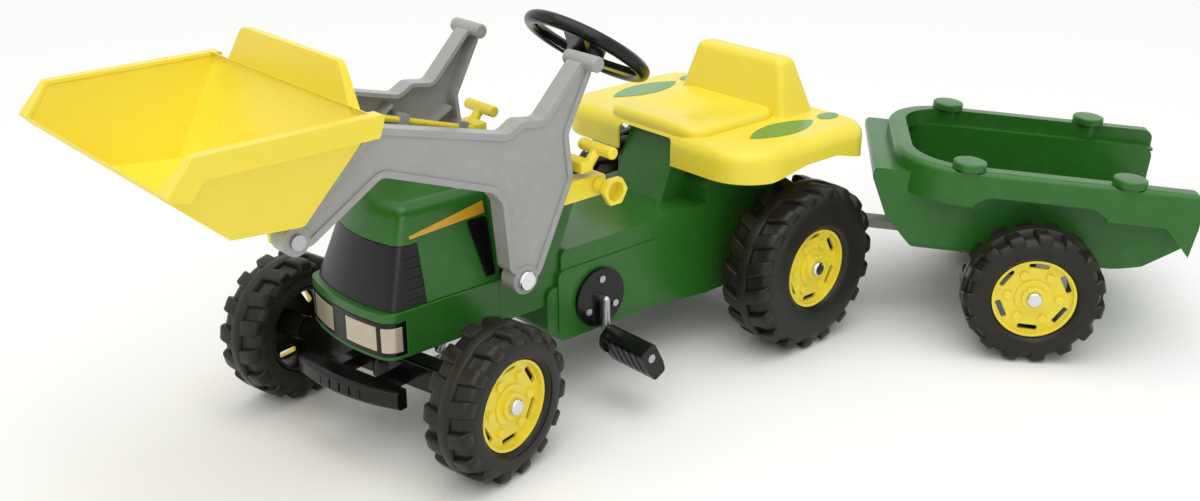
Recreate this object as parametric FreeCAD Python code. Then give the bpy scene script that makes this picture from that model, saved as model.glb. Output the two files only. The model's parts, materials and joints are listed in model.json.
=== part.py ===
import FreeCAD, Part
import math
import os

Vector = FreeCAD.Vector

# Pedal tractor with a front loader and a single axle trailer, in millimetres.
# X points forward, Y to the left and Z up. While it is built, the origin is on the ground under the kingpin.

# Fits shared by all pieces
running_gap = 0.06
seat_gap = 0.3
side_gap = 0.5
overrun = 5

# Wheels
wheelbase = 600
track_half = 219
front_radius = 100
front_width = 71
rear_radius = 125
rear_width = 84
hub_radius = 59
hub_inset = 7
hub_wall = 4
hub_dish = 9
hub_web = 5
hub_boss_radius = 17
hub_ring_radius = 26
hub_ring_height = 3
bolt_boss_radius = 6
bolt_boss_height = 1.5
bolt_circle_radius = 36.5
slot_circle_radius = 48
slot_length = 28
slot_width = 8
hub_patterns = 6
tyre_wall = 4
sidewall = 6
bead_tuck = 5
bead_height = 10
bead_round = 5
bead_seat = 12
shoulder = 10
shoulder_round = 7
lug_depth = 8
centre_rib = 8
groove_share = 0.44
sweep_share = -0.28
front_lugs = 15
rear_lugs = 18
cap_radius = 11
cap_length = 6.5
cap_round = 3.5
cap_skin = 2

# Axles and drive
axle_radius = 5
rear_axle_radius = 6
bush_radius = 10
bush_length = 22
horn_radius = 17
crank_back = 278
crank_height = 139
crank_throw = 55
crank_rod_radius = 6
crank_web_y = 113
pedal_start = 120
pedal_width = 84
pedal_reach = 34
pedal_heel = 18
pedal_depth = 28
pedal_tip_depth = 22
pedal_flange_radius = 19
pedal_flange = 6
pedal_angle = 242
pedal_round = 6
pedal_groove = 3
pedal_grooves = 5
flange_radius = 42
flange_thickness = 6
flange_spigot_radius = 14
flange_spigot_length = 14
screw_head_radius = 5
screw_head_height = 3
screw_radius = 2.5
screw_circle_radius = 28
flange_screws = 3
chain_y = -40
chain_pitch = 9.525
crank_teeth = 20
rear_teeth = 16
sprocket_thickness = 3
tooth_depth = 5
tooth_shares = ((0, -0.5), (0.3, -0.5), (0.5, 0.5), (0.8, 0.5))
link_height = 8
link_thickness = 1.2
link_gap = 0.6
roller_radius = 2

# Chassis body
body_half = 95
body_wall = 4
under_height = 90
rear_under_height = 80
step_height = 222
notch_x = -190
notch_rise = 24
body_rear_x = -655
rear_rise_x = -490
saddle_x = -525
saddle_height = 291
tower_half = 90
tower_front_height = 318
tower_top_x = -200
tower_top_height = 340
tower_rear_x = -262
tower_rear_height = 318
tower_heel_x = -214
tower_lip_x = -248
tower_lip_height = 298
pedestal_front_x = -440
pedestal_top_x = -480
pedestal_rear_x = -520
pedestal_half = 50
body_round = 12
deck_front_x = 36
deck_half = 66
deck_height = 172
deck_depth = 24
kingpin_boss_radius = 20
panel_front_x = -208
panel_rear_x = -392
panel_low = 100
panel_high = 194
panel_thickness = 2

# Nose
hood_rear_x = -115
hood_base_height = 209
hood_top_height = 328
hood_base_front_x = 44
hood_top_front_x = 4
hood_base_half = 88
hood_top_half = 63
front_bulge = 15
hood_corner_round = 20
hood_top_round = 24
skin = 3
grille_top_height = 283
grille_side_x = -6
louvre_count = 5
louvre_height = 6
louvre_depth = 3
cowl_bottom_height = 147
cowl_front_x = 53
cowl_half = 91
cowl_corner_round = 22
lamp_panel_x = 28
lamp_low = 157
lamp_panel_low = 152
lamp_panel_high = 196
lamp_high = 190
lamp_inner_y = 15
lamp_outer_y = 70
corner_lamp_y = 77
corner_lamp_rear_x = 34
lamp_thickness = 8
stripe_front_x = 4
stripe_front_low = 290
stripe_rear_low = 296
stripe_height = 15
stripe_thickness = 0.8
bumper_low = 84
bumper_high = 110
bumper_front_x = 74
bumper_rear_x = 58
bumper_half = 88
bumper_bulge = 14
bumper_round = 7
bumper_strut_y = 40
bumper_strut_half = 9
bumper_groove = 3
bumper_grooves = 9

# Steering
rest_steer = 12
steer_ratio = 2.5
column_tilt = 35.8
wheel_centre_x = -344
wheel_centre_z = 457
column_end_x = -79
column_radius = 6
column_throw = 40
column_pin_length = 36
rim_radius = 84
rim_thickness = 9.5
spoke_width = 30
spoke_thickness = 9
spoke_count = 3
wheel_hub_radius = 27
wheel_hub_depth = 34
wheel_hub_end_radius = 15
wheel_dish = 16
wheel_hub_top = 6
boot_radius = 17
boot_root_radius = 12.5
boot_ribs = 9
boot_pitch = 13.3
boot_sink = 18
rib_shares = (0, 0.3, 0.6, 0.75)
beam_depth = 30
beam_low = 82
beam_high = 120
beam_end = 146
beam_stub_radius = 13
beam_boss_radius = 21
kingpin_radius = 6
kingpin_head_radius = 11
kingpin_head_height = 7
tongue_half = 17
tongue_low = 47
tongue_high = 57
tongue_reach = 124
tongue_bend_x = -62
tongue_root_x = -30
slot_half = 9.5
slot_near = 70
slot_far = 116

# Seat and fenders
seat_wall = 4
seat_front_x = -452
seat_rear_x = -726
fender_half = 204
fender_top_height = 322
fender_round = 20
fender_corner = 46
seat_front_corner = 70
skirt_front_low = 276
skirt_front_turn_x = -505
skirt_wheel_low = 287
skirt_wheel_front_x = -575
skirt_wheel_rear_x = -640
skirt_rear_low = 264
skirt_round = 30
seat_arch_half = 55
seat_arch_height = 315
seat_arch_round = 9
pan_setback = 9
pan_top_height = 334
pan_rear_x = -640
pan_half = 96
pan_corner = 34
pan_round = 11
dish_depth = 7
dish_radius = 190
dish_x = -545
back_base_front_x = -628
back_base_rear_x = -704
back_base_half = 110
back_top_front_x = -644
back_top_rear_x = -680
back_top_half = 86
back_top_height = 402
back_corner = 15
back_round = 13
inlay_thickness = 0.8
leaf_front_x = -522
leaf_rear_x = -658
leaf_inner_y = 118
leaf_outer_y = 166
badge_x = -690
badge_y = 143
badge_long = 19
badge_short = 13

# Loader
loader_x = -128
loader_z = 217
loader_pin_radius = 6
arm_inner_y = 103
arm_thickness = 26
arm_reach = 313
arm_rise = 136
arm_height = 262
arm_round = 14
arm_boss_radius = 19
nose_radius = 17
arm_bead = 8
arm_recess = 2.5
arm_skin = 4.5
arm_rib = 4
grip_x = -234
grip_z = 479
grip_length = 60
grip_radius = 10
pivot_cap_radius = 13
pivot_cap_height = 6
bucket_bolt_radius = 5
bolt_head_radius = 9
bolt_head_height = 5
bucket_wall = 4
bucket_half = 181
bucket_lip_half = 189
bucket_floor_half = 148
bucket_reach = 165
bucket_height = 140
crest_rise = 182
crest_top_half = 108
crest_base_half = 152
crest_round = 14
crest_base_share = 0.8
lip_drop_share = 0.35
rim_taper_share = 0.33
bucket_rim = 25
bucket_rim_lip = 6
bucket_floor_z = 23
ear_y = 92
ear_thickness = 7
ear_radius = 15
rod_y = 98
rod_radius = 4.5
rod_front_x = 66
rod_front_z = 432
rod_rear_x = -230
rod_rear_z = 341
guide_half = 9
guide_wall = 2
guide_width = 14
guide_shares = (0.1, 0.42, 0.9)
link_block = 20
link_outer_y = 131
pull_x = -254
pull_y = 123
pull_z = 362
pull_length = 62
pull_radius = 8
pull_stem_radius = 7
bracket_rear_x = -264
bracket_front_x = -178
bracket_low = 300
bracket_high = 328
bracket_side = 2
bracket_round = 6
knob_x = -250
knob_z = 315
knob_stem_radius = 5
knob_barrel_radius = 10
knob_start = 130
knob_neck = 142
knob_end = 163
knob_flare = 20
knob_hollow = 13
knob_hollow_depth = 14

# Hitch and trailer
hitch_x = -681
hitch_height = 132
hitch_plate = 8
hitch_half = 24
hitch_flange = 6
hitch_flange_low = 96
hitch_flange_high = 158
tow_pin_radius = 6
tow_pin_head_radius = 11
tow_pin_head = 5
tow_pin_tail = 12
eye_radius = 19
eye_height = 16
rest_yaw = -49.34
rest_pitch = 4.05
drawbar_length = 417
drawbar_half = 15
drawbar_depth = 14
bracket_y = 88
bracket_thickness = 16
bracket_half_length = 20
bracket_drop = 14
sleeve_radius = 11
tub_wall = 4
tub_bottom = 121.3
tub_half = 128
tub_rear = 212
tub_deck = 241
tub_length = 455
tub_round = 16
rim_half = 168
rim_front = 213
rim_low = 212
rim_high = 265
rim_width = 26
rim_corner = 105
rim_round = 9
arch_height = 229
arch_front = 92
arch_rear = 78
arch_round = 22
tail_drop = 172
tail_length = 48
tail_corner = 14
mouth_share = 0.36
stake_front = 113
stake_rear = -110
stake_y = 152.5
stake_disc_radius = 24
stake_disc_height = 11
stake_round = 3
stake_stem_radius = 9
stake_stem_length = 24
post_radius = 17

# Places that follow from the sizes above
rear_centre_y = track_half - rear_width / 2
front_centre_y = track_half - front_width / 2
column_sin = math.sin(math.radians(column_tilt))
column_cos = math.cos(math.radians(column_tilt))
column_axis = Vector(-column_sin, 0, column_cos)
column_length = (column_end_x - wheel_centre_x) / column_sin
wheel_centre = Vector(wheel_centre_x, 0, wheel_centre_z)
column_end = wheel_centre - column_axis * column_length
bucket_pin_x = loader_x + arm_reach
bucket_pin_z = loader_z + arm_rise
arm_outer_y = arm_inner_y + arm_thickness
rod_inner_y = rod_y - rod_radius - guide_wall
rod_along = Vector(rod_front_x - rod_rear_x, 0, rod_front_z - rod_rear_z).normalize()
drawbar_low = front_radius + axle_radius + side_gap
leftward = Vector(0, 1, 0)
upward = Vector(0, 0, 1)
home = Vector(0, 0, 0)
full_turn = 360
corner_room_share = 0.49
straight_share = 0.497
parallel_share = 0.9


# Shape helpers

def corner_wire(points, rounds, place):
    # closed outline of straight runs, with each corner rounded by a tangent arc
    count = len(points)
    starts = []
    ends = []
    arcs = []
    for i in range(count):
        here = place(*points[i])
        to_last = place(*points[i - 1]) - here
        to_next = place(*points[(i + 1) % count]) - here
        room = min(to_last.Length, to_next.Length) * corner_room_share
        to_last.normalize()
        to_next.normalize()
        half = to_last.getAngle(to_next) / 2
        radius = rounds[i]
        if radius and half < math.pi * straight_share:
            radius = min(radius, room * math.tan(half))
            reach = radius / math.tan(half)
            middle = (to_last + to_next).normalize()
            centre = here + middle * (radius / math.sin(half))
            starts.append(here + to_last * reach)
            ends.append(here + to_next * reach)
            arcs.append(Part.Arc(starts[-1], centre - middle * radius, ends[-1]).toShape())
        else:
            starts.append(here)
            ends.append(here)
            arcs.append(None)
    edges = []
    for i in range(count):
        if arcs[i]:
            edges.append(arcs[i])
        edges.append(Part.LineSegment(ends[i], starts[(i + 1) % count]).toShape())
    return Part.Wire(edges)


def even(points, radius):
    return [radius] * len(points)


def side_face(points, rounds, y):
    return Part.Face(corner_wire(points, rounds, lambda x, z: Vector(x, y, z)))


def side_slab(points, radius, y_from, y_to):
    # outline drawn in X and Z, thick along Y
    return side_face(points, even(points, radius), y_from).extrude(Vector(0, y_to - y_from, 0))


def plan_wire(points, rounds, z):
    return corner_wire(points, rounds, lambda x, y: Vector(x, y, z))


def plan_slab(points, rounds, z_from, z_to):
    # outline drawn in X and Y, thick along Z
    return Part.Face(plan_wire(points, rounds, z_from)).extrude(Vector(0, 0, z_to - z_from))


def box(x_from, x_to, y_from, y_to, z_from, z_to):
    return Part.makeBox(x_to - x_from, y_to - y_from, z_to - z_from, Vector(x_from, y_from, z_from))


def disc(radius, y_from, y_to, x=0, z=0):
    return Part.makeCylinder(radius, y_to - y_from, Vector(x, y_from, z), leftward)


def post(radius, z_from, z_to, x=0, y=0):
    return Part.makeCylinder(radius, z_to - z_from, Vector(x, y, z_from), upward)


def rod(radius, start, end):
    return Part.makeCylinder(radius, (end - start).Length, start, end - start)


def turned(points, rounds):
    # outline of radius and Y, turned about the Y axis
    face = Part.Face(corner_wire(points, rounds, lambda r, y: Vector(r, y, 0)))
    return face.revolve(home, leftward, full_turn)


def joined(shapes):
    return shapes[0].multiFuse(shapes[1:]).removeSplitter()


def mirrored(shape):
    return shape.mirror(home, leftward)


def pair(shape):
    return [shape, mirrored(shape)]


def moved(shape, x, y, z):
    return shape.translated(Vector(x, y, z))


def swung(shape, centre, axis, angle):
    turned_shape = shape.copy()
    turned_shape.rotate(centre, axis, angle)
    return turned_shape


def ring(shape, count, centre, axis):
    return [swung(shape, centre, axis, full_turn * i / count) for i in range(count)]


def top_edges(shape, height):
    return [e for e in shape.Edges
            if abs(e.BoundBox.ZMin - height) + abs(e.BoundBox.ZMax - height) < seat_gap]


# Wheels

def tread_grooves(radius, half, lugs):
    pitch = 2 * math.pi * radius / lugs
    gap = pitch * groove_share / 2
    sweep = pitch * sweep_share
    edge = half + overrun
    points = [(-gap, centre_rib), (gap, centre_rib), (gap + sweep, edge), (sweep - gap, edge)]
    left = plan_slab(points, even(points, 0), radius - lug_depth, radius + overrun)
    right = swung(mirrored(left), home, leftward, full_turn / lugs / 2)
    return ring(left, lugs, home, leftward) + ring(right, lugs, home, leftward)


def tyre(radius, width, lugs):
    half = width / 2
    bore = hub_radius + seat_gap
    side = [(bore, half - bead_tuck), (bore + bead_height, half), (radius - shoulder, half),
            (radius, half - shoulder)]
    rounds = [0, bead_round, shoulder_round, shoulder_round]
    points = side + [(r, -y) for r, y in reversed(side)]
    body = turned(points, rounds + rounds[::-1])
    well = half - sidewall
    inner = [(bore - overrun, well - bead_seat), (bore + bead_height, well - bead_seat),
             (radius - shoulder - lug_depth, well), (radius - lug_depth - tyre_wall, well - shoulder)]
    points = inner + [(r, -y) for r, y in reversed(inner)]
    body = body.cut(turned(points, even(points, 0)))
    return body.cut(tread_grooves(radius, half, lugs))


def hub(width, bore):
    half = width / 2 - hub_inset
    face = half - hub_dish
    drum = disc(hub_radius, -half, half).cut(disc(hub_radius - hub_wall, -half - overrun, half + overrun))
    web = disc(hub_radius - hub_wall / 2, face - hub_web, face)
    raised = disc(hub_ring_radius, face - hub_web, face + hub_ring_height)
    boss = disc(hub_boss_radius, -half, half)
    stud = disc(bolt_boss_radius, face, face + hub_ring_height + bolt_boss_height, bolt_circle_radius)
    body = joined([drum, web, raised, boss] + ring(stud, hub_patterns, home, leftward))
    slot = box(slot_circle_radius - slot_width / 2, slot_circle_radius + slot_width / 2,
               face - hub_web - overrun, face + overrun, -slot_length / 2, slot_length / 2)
    slot = slot.makeFillet(slot_width / 3,
                           [e for e in slot.Edges if abs(e.tangentAt(0).y) > parallel_share])
    slot = swung(slot, home, leftward, 180 / hub_patterns)
    body = body.cut(ring(slot, hub_patterns, home, leftward))
    return body.cut(disc(bore, -half - overrun, half + overrun))


def axle_cap(width, rod_radius_here):
    # bright domed cap pushed on the rod outside the hub
    start = width / 2 - hub_inset + side_gap
    points = [(0, start), (cap_radius, start), (cap_radius, start + cap_length), (0, start + cap_length)]
    dome = turned(points, [0, 0, cap_round, 0])
    depth = start + cap_length - cap_skin
    return dome.cut(disc(rod_radius_here + seat_gap, start - overrun, depth))


def rod_end(width):
    # how far past the wheel's middle its axle rod reaches, inside the cap
    return width / 2 - hub_inset + side_gap + cap_length - cap_skin - side_gap


def wheel_set(names, radius, width, lugs, centre_y, bore, place):
    # tyres and hubs of a left and a right wheel
    for side, name in zip((pair_left, mirrored), names):
        nodes[name + "_tyre"] = place(side(moved(tyre(radius, width, lugs), 0, centre_y, 0)))
        nodes[name + "_hub"] = place(side(moved(hub(width, bore), 0, centre_y, 0)))


def pair_left(shape):
    return shape


# Chassis body

def shell_pair(points, radius, half):
    outer = side_slab(points, radius, -half, half)
    face = side_face(points, even(points, radius), body_wall - half)
    inner = face.makeOffset2D(-body_wall).extrude(Vector(0, 2 * (half - body_wall), 0))
    return outer, inner


def chassis_outlines():
    front = hood_rear_x - seat_gap
    deck_low = deck_height - deck_depth
    under = [(notch_x, deck_height), (notch_x, under_height + notch_rise),
             (notch_x - notch_rise, under_height), (panel_rear_x, under_height),
             (rear_rise_x, rear_under_height), (body_rear_x, rear_under_height), (body_rear_x, step_height),
             (tower_heel_x, step_height), (tower_heel_x, deck_height)]
    tower = [(front, deck_low), (front, tower_front_height), (tower_top_x, tower_top_height),
             (tower_rear_x, tower_rear_height), (tower_lip_x, tower_lip_height),
             (tower_heel_x, step_height - body_wall), (tower_heel_x - 3 * body_wall, deck_low)]
    saddle = [(rear_rise_x, rear_under_height + body_wall), (rear_rise_x, step_height + notch_rise),
              (saddle_x, saddle_height), (body_rear_x, saddle_height),
              (body_rear_x, rear_under_height + body_wall)]
    top = pan_top_height - dish_depth - seat_wall - seat_gap
    pedestal = [(pedestal_front_x, under_height + body_wall), (pedestal_front_x, step_height),
                (pedestal_top_x, top), (pedestal_rear_x, top), (pedestal_rear_x, under_height + body_wall)]
    deck = [(notch_x - 3 * body_wall, deck_low), (notch_x - 3 * body_wall, deck_height),
            (deck_front_x, deck_height), (deck_front_x, deck_low)]
    return [(under, body_round, body_half), (tower, body_round, tower_half), (saddle, body_round, body_half),
            (pedestal, body_round, pedestal_half), (deck, body_wall, deck_half)]


def chassis_body():
    pairs = [shell_pair(*outline) for outline in chassis_outlines()]
    outer = joined([p[0] for p in pairs])
    panel_points = [(panel_front_x, panel_low), (panel_front_x, panel_high), (panel_rear_x, panel_high),
                    (panel_rear_x, panel_low)]
    panel = side_slab(panel_points, body_round, -body_half - panel_thickness, body_half + panel_thickness)
    horns = disc(horn_radius, -horn_end(), horn_end(), -wheelbase, rear_radius)
    outer = joined([outer, panel, horns])
    low_half = body_half - body_wall
    under_floor = box(body_rear_x + body_wall, notch_x - notch_rise, -low_half, low_half,
                      rear_under_height - overrun, under_height + body_round)
    deck_low = deck_height - deck_depth
    deck_floor = box(notch_x - body_wall, deck_front_x - body_wall, body_wall - deck_half,
                     deck_half - body_wall,
                     deck_low - overrun, deck_low + body_wall + overrun)
    body = outer.cut([p[1] for p in pairs] + [under_floor, deck_floor])
    return body_bores(joined([body] + body_bosses()))


def horn_end():
    # the rear axle horns stop where the flanges of their bushes begin
    return track_half - rear_width + hub_inset - side_gap - body_wall / 2


def body_bosses():
    deck_low = deck_height - deck_depth
    king = post(kingpin_boss_radius, beam_high + side_gap, deck_height)
    reach = (deck_height - deck_depth / 2 - column_end.z) / column_cos
    middle = column_end + column_axis * reach
    half = column_axis * (deck_depth / column_cos / 2)
    lower = rod(column_radius * 2, middle - half, middle + half)
    lower = lower.common(box(notch_x, deck_front_x, -deck_half, deck_half, deck_low, deck_height))
    inside = tower_half - body_wall / 2
    shelf = box(notch_x - body_wall, hood_rear_x - body_wall / 2, -inside, inside,
                deck_height - body_wall, deck_height)
    seat_end = boot_base() - column_axis * seat_gap
    collar = rod(boot_root_radius, seat_end - column_axis * boot_sink, seat_end)
    return [king, lower, shelf, collar]


def body_bores(body):
    wide = track_half
    body = body.cut(disc(flange_spigot_radius + seat_gap, -wide, wide, -crank_back, crank_height))
    body = body.cut(disc(bush_radius + seat_gap, -wide, wide, -wheelbase, rear_radius))
    body = body.cut(disc(loader_pin_radius + seat_gap, -wide, wide, loader_x, loader_z))
    body = body.cut(rod(column_radius + running_gap, column_end, wheel_centre))
    body = body.cut(post(kingpin_radius + seat_gap, beam_low, deck_height + overrun))
    holes = []
    for place in screw_places():
        holes += pair(disc(screw_radius + seat_gap, body_half - 2 * body_wall,
                           body_half + panel_thickness + overrun, *place))
    return body.cut(holes)


# Nose

def nose_block(sections, corner, grow):
    # tapered block with a bowed front, square at the back
    wires = []
    for height, front, half in sections:
        side = half + grow
        nose = front + grow
        a = Vector(hood_rear_x, -side, height)
        b = Vector(nose, -side, height)
        c = Vector(nose, side, height)
        d = Vector(hood_rear_x, side, height)
        bow = Part.Arc(b, Vector(nose + front_bulge, 0, height), c).toShape()
        wires.append(Part.Wire([Part.LineSegment(a, b).toShape(), bow, Part.LineSegment(c, d).toShape(),
                                Part.LineSegment(d, a).toShape()]))
    block = Part.makeLoft(wires, True, True)
    upright = [e for e in block.Edges if e.BoundBox.XMin > hood_top_front_x - overrun
               and e.BoundBox.ZLength > cowl_bottom_height / 3]
    return block.makeFillet(corner, upright)


def hood_block(grow):
    sections = [(hood_base_height, hood_base_front_x, hood_base_half),
                (hood_top_height + grow, hood_top_front_x, hood_top_half)]
    block = nose_block(sections, hood_corner_round + grow, grow)
    rim = [e for e in top_edges(block, hood_top_height + grow) if e.BoundBox.XMax > hood_rear_x + overrun]
    return block.makeFillet(hood_top_round + grow, rim)


def cowl_block(grow):
    sections = [(cowl_bottom_height, cowl_front_x, cowl_half),
                (hood_base_height - seat_gap, cowl_front_x, cowl_half)]
    return nose_block(sections, cowl_corner_round + grow, grow)


def front_part(x, low, high):
    wide = track_half
    return box(x, wheelbase, -wide, wide, low, high)


def hood():
    return hood_block_shell_open().cut(front_part(grille_side_x - seat_gap, 0,
                                                  grille_top_height + seat_gap))


def hood_block_shell_open():
    inner = hood_block(-skin)
    below = moved(inner, 0, 0, -skin)
    return hood_block(0).cut([inner, below, moved(below, -skin, 0, 0)])


def grille():
    piece = hood_block_shell_open().common(front_part(grille_side_x, 0, grille_top_height))
    step = (grille_top_height - hood_base_height) / (louvre_count + 1)
    wide = track_half
    cutters = []
    for i in range(louvre_count):
        middle = hood_base_height + step * (i + 1)
        slot = box(grille_side_x - overrun, hood_base_front_x - hood_corner_round - overrun, -wide, wide,
                   middle - louvre_height / 2, middle + louvre_height / 2)
        cutters.append(slot.cut(hood_block(-louvre_depth / 2)))
    return piece.cut(cutters)


def cowl_shell():
    inner = moved(cowl_block(-skin), 0, 0, -skin)
    return cowl_block(0).cut([inner, moved(inner, -skin, 0, 0)])


def nose_cowl():
    return cowl_shell().cut(front_part(lamp_panel_x - seat_gap, lamp_panel_low - seat_gap,
                                       lamp_panel_high + seat_gap))


def lamp_boxes(gap):
    far = wheelbase
    front = box(cowl_front_x - cowl_corner_round / 2, far, lamp_inner_y - gap, lamp_outer_y + gap,
                lamp_low - gap, lamp_high + gap)
    corner = box(corner_lamp_rear_x - gap, far, corner_lamp_y - gap, track_half, lamp_low - gap,
                 lamp_high + gap)
    return [front, corner]


def lamps():
    # lenses as thick as their recess, following the bowed front
    lens_shell = cowl_block(0).cut(cowl_block(-lamp_thickness))
    solids = []
    for block in lamp_boxes(0):
        solids += pair(lens_shell.common(block))
    return solids


def lamp_panel():
    thick = cowl_block(0).cut(cowl_block(-lamp_thickness - skin))
    piece = thick.common(front_part(lamp_panel_x, lamp_panel_low, lamp_panel_high))
    pocket = cowl_block(overrun).cut(cowl_block(-lamp_thickness - seat_gap))
    cutters = []
    for block in lamp_boxes(seat_gap):
        cutters += pair(pocket.common(block))
    return piece.cut(cutters)


def hood_stripes():
    band = [(stripe_front_x, stripe_front_low), (hood_rear_x + overrun, stripe_rear_low),
            (hood_rear_x + overrun, stripe_rear_low + stripe_height),
            (stripe_front_x, stripe_front_low + stripe_height / 4)]
    wide = track_half
    film = hood_block(stripe_thickness).cut(hood_block(0))
    left = film.common(side_slab(band, 0, hood_top_half - hood_top_round, wide))
    return pair(left)


def front_bumper():
    half = bumper_half
    edges = [Part.LineSegment(Vector(bumper_front_x, half, bumper_low),
                              Vector(bumper_rear_x, half, bumper_low)).toShape(),
             Part.LineSegment(Vector(bumper_rear_x, half, bumper_low),
                              Vector(bumper_rear_x, -half, bumper_low)).toShape(),
             Part.LineSegment(Vector(bumper_rear_x, -half, bumper_low),
                              Vector(bumper_front_x, -half, bumper_low)).toShape(),
             Part.Arc(Vector(bumper_front_x, -half, bumper_low),
                      Vector(bumper_front_x + bumper_bulge, 0, bumper_low),
                      Vector(bumper_front_x, half, bumper_low)).toShape()]
    blade = Part.Face(Part.Wire(edges)).extrude(Vector(0, 0, bumper_high - bumper_low))
    front = [e for e in blade.Edges if e.BoundBox.XMax > bumper_front_x + overrun]
    blade = blade.makeFillet(bumper_round, front)
    step = 2 * half / (bumper_grooves + 1)
    cutters = [box(bumper_front_x + bumper_bulge - bumper_groove, wheelbase,
                   step * (i + 1) - half - bumper_groove / 2, step * (i + 1) - half + bumper_groove / 2,
                   bumper_low + bumper_round, bumper_high - bumper_round)
               for i in range(bumper_grooves)]
    strut = box(beam_depth / 2 + seat_gap, bumper_rear_x + overrun, bumper_strut_y - bumper_strut_half,
                bumper_strut_y + bumper_strut_half, bumper_low + body_wall, bumper_high - body_wall)
    return steered(joined([blade.cut(cutters)] + pair(strut)))


# Steering

def steering_wheel():
    # built flat about Z, then leaned back onto the column
    rim = Part.makeTorus(rim_radius, rim_thickness)
    arm = box(0, rim_radius, -spoke_width / 2, spoke_width / 2, -spoke_thickness / 2, spoke_thickness / 2)
    drop = math.degrees(math.atan2(wheel_dish, rim_radius))
    arm = moved(swung(arm, home, leftward, -drop), 0, 0, -wheel_dish)
    spokes = ring(arm, spoke_count, home, upward)
    cone = Part.makeCone(wheel_hub_end_radius, wheel_hub_radius, wheel_hub_depth,
                         Vector(0, 0, -wheel_hub_depth - wheel_hub_top))
    crown = post(wheel_hub_radius, -wheel_hub_top, wheel_hub_top)
    crown = crown.makeFillet(wheel_hub_top / 2, top_edges(crown, wheel_hub_top))
    body = joined([rim, cone, crown] + spokes)
    blind = post(column_radius + seat_gap, -wheel_hub_depth - wheel_hub_top - overrun, -wheel_hub_top)
    return on_column(body.cut(blind))


def on_column(shape):
    leaned = swung(shape, home, leftward, -column_tilt)
    return turned_column(leaned.translated(wheel_centre))


def turned_column(shape):
    return swung(shape, column_end, column_axis, rest_steer * steer_ratio)


def steering_column():
    # one steel rod, bent at its lower end into a crank that works the axle's slot
    top = wheel_centre - column_axis * (wheel_hub_top + side_gap)
    across = Vector(-column_cos, 0, -column_sin)
    elbow = column_end + across * column_throw
    tip = elbow - column_axis * column_pin_length
    body = joined([rod(column_radius, column_end, top), Part.makeSphere(column_radius, column_end),
                   rod(column_radius, column_end, elbow), Part.makeSphere(column_radius, elbow),
                   rod(column_radius, elbow, tip)])
    return turned_column(body)


def column_boot():
    # ribbed sleeve between the tower and the wheel's hub, with a plain bore
    circles = []
    for i in range(boot_ribs):
        for share, radius in zip(rib_shares,
                                 (boot_root_radius, boot_radius, boot_radius, boot_root_radius)):
            height = (i + share) * boot_pitch
            circles.append(Part.Wire(Part.makeCircle(radius, Vector(0, 0, height), upward)))
    sleeve = Part.makeLoft(circles, True, True)
    sleeve = sleeve.cut(post(column_radius + side_gap, -overrun, boot_length() + overrun))
    return swung(sleeve, home, leftward, -column_tilt).translated(boot_base())


def boot_length():
    return (boot_ribs - 1 + rib_shares[-1]) * boot_pitch


def boot_base():
    below = wheel_hub_depth + wheel_hub_top + side_gap + boot_length()
    return wheel_centre - column_axis * below


def front_axle_beam():
    bar = box(-beam_depth / 2, beam_depth / 2, -beam_end, beam_end, beam_low, beam_high)
    bar = bar.makeFillet(body_wall, [e for e in bar.Edges if abs(e.tangentAt(0).y) > parallel_share])
    boss = post(beam_boss_radius, beam_low, beam_high)
    stub_end = track_half - front_width + hub_inset - side_gap
    stub = disc(beam_stub_radius, -stub_end, stub_end, 0, front_radius)
    profile = [(0, beam_low), (0, front_radius), (tongue_root_x, beam_low + tongue_high - tongue_low),
               (tongue_bend_x, tongue_high), (-tongue_reach, tongue_high), (-tongue_reach, tongue_low),
               (tongue_bend_x, tongue_low), (tongue_root_x, tongue_high + tongue_high - tongue_low),
               (-beam_depth / 2, beam_low)]
    tongue = side_slab(profile, 0, -tongue_half, tongue_half)
    slot = box(-slot_far, -slot_near, -slot_half, slot_half, 0, tongue_high + overrun)
    body = joined([bar, boss, stub, tongue]).cut(slot)
    body = body.cut(disc(axle_radius + seat_gap, -track_half, track_half, 0, front_radius))
    return steered(body.cut(post(kingpin_radius + running_gap, 0, deck_height)))


def steered(shape):
    return swung(shape, home, upward, rest_steer)


def front_axle_rod():
    # two half rods with the kingpin between them
    inner = kingpin_radius + side_gap
    end = front_centre_y + rod_end(front_width)
    return [steered(piece) for piece in pair(disc(axle_radius, inner, end, 0, front_radius))]


def kingpin():
    shank = post(kingpin_radius, beam_low - side_gap - kingpin_head_height, deck_height + side_gap)
    head = post(kingpin_head_radius, deck_height, deck_height + kingpin_head_height)
    nut = post(kingpin_head_radius, beam_low - side_gap - kingpin_head_height, beam_low - side_gap)
    return joined([shank, head, nut])


# Drive

def screw_places():
    places = []
    for i in range(flange_screws):
        angle = math.radians(90 + full_turn * i / flange_screws)
        places.append((screw_circle_radius * math.cos(angle) - crank_back,
                       screw_circle_radius * math.sin(angle) + crank_height))
    return places


def crank_flange():
    face = body_half + panel_thickness + seat_gap
    body = joined([disc(flange_radius, face, face + flange_thickness, -crank_back, crank_height),
                   disc(flange_spigot_radius, face - flange_spigot_length, face, -crank_back,
                        crank_height)])
    holes = [disc(screw_radius + seat_gap, face - overrun, face + flange_thickness + overrun, x, z)
             for x, z in screw_places()]
    bore = disc(crank_rod_radius + running_gap, 0, track_half, -crank_back, crank_height)
    return body.cut(holes + [bore])


def flange_screw_set():
    outside = body_half + panel_thickness + seat_gap + flange_thickness
    solids = []
    for x, z in screw_places():
        head = disc(screw_head_radius, outside, outside + screw_head_height, x, z)
        shank = disc(screw_radius, body_half - body_wall, outside, x, z)
        solids += pair(joined([head, shank]))
    return solids


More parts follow.
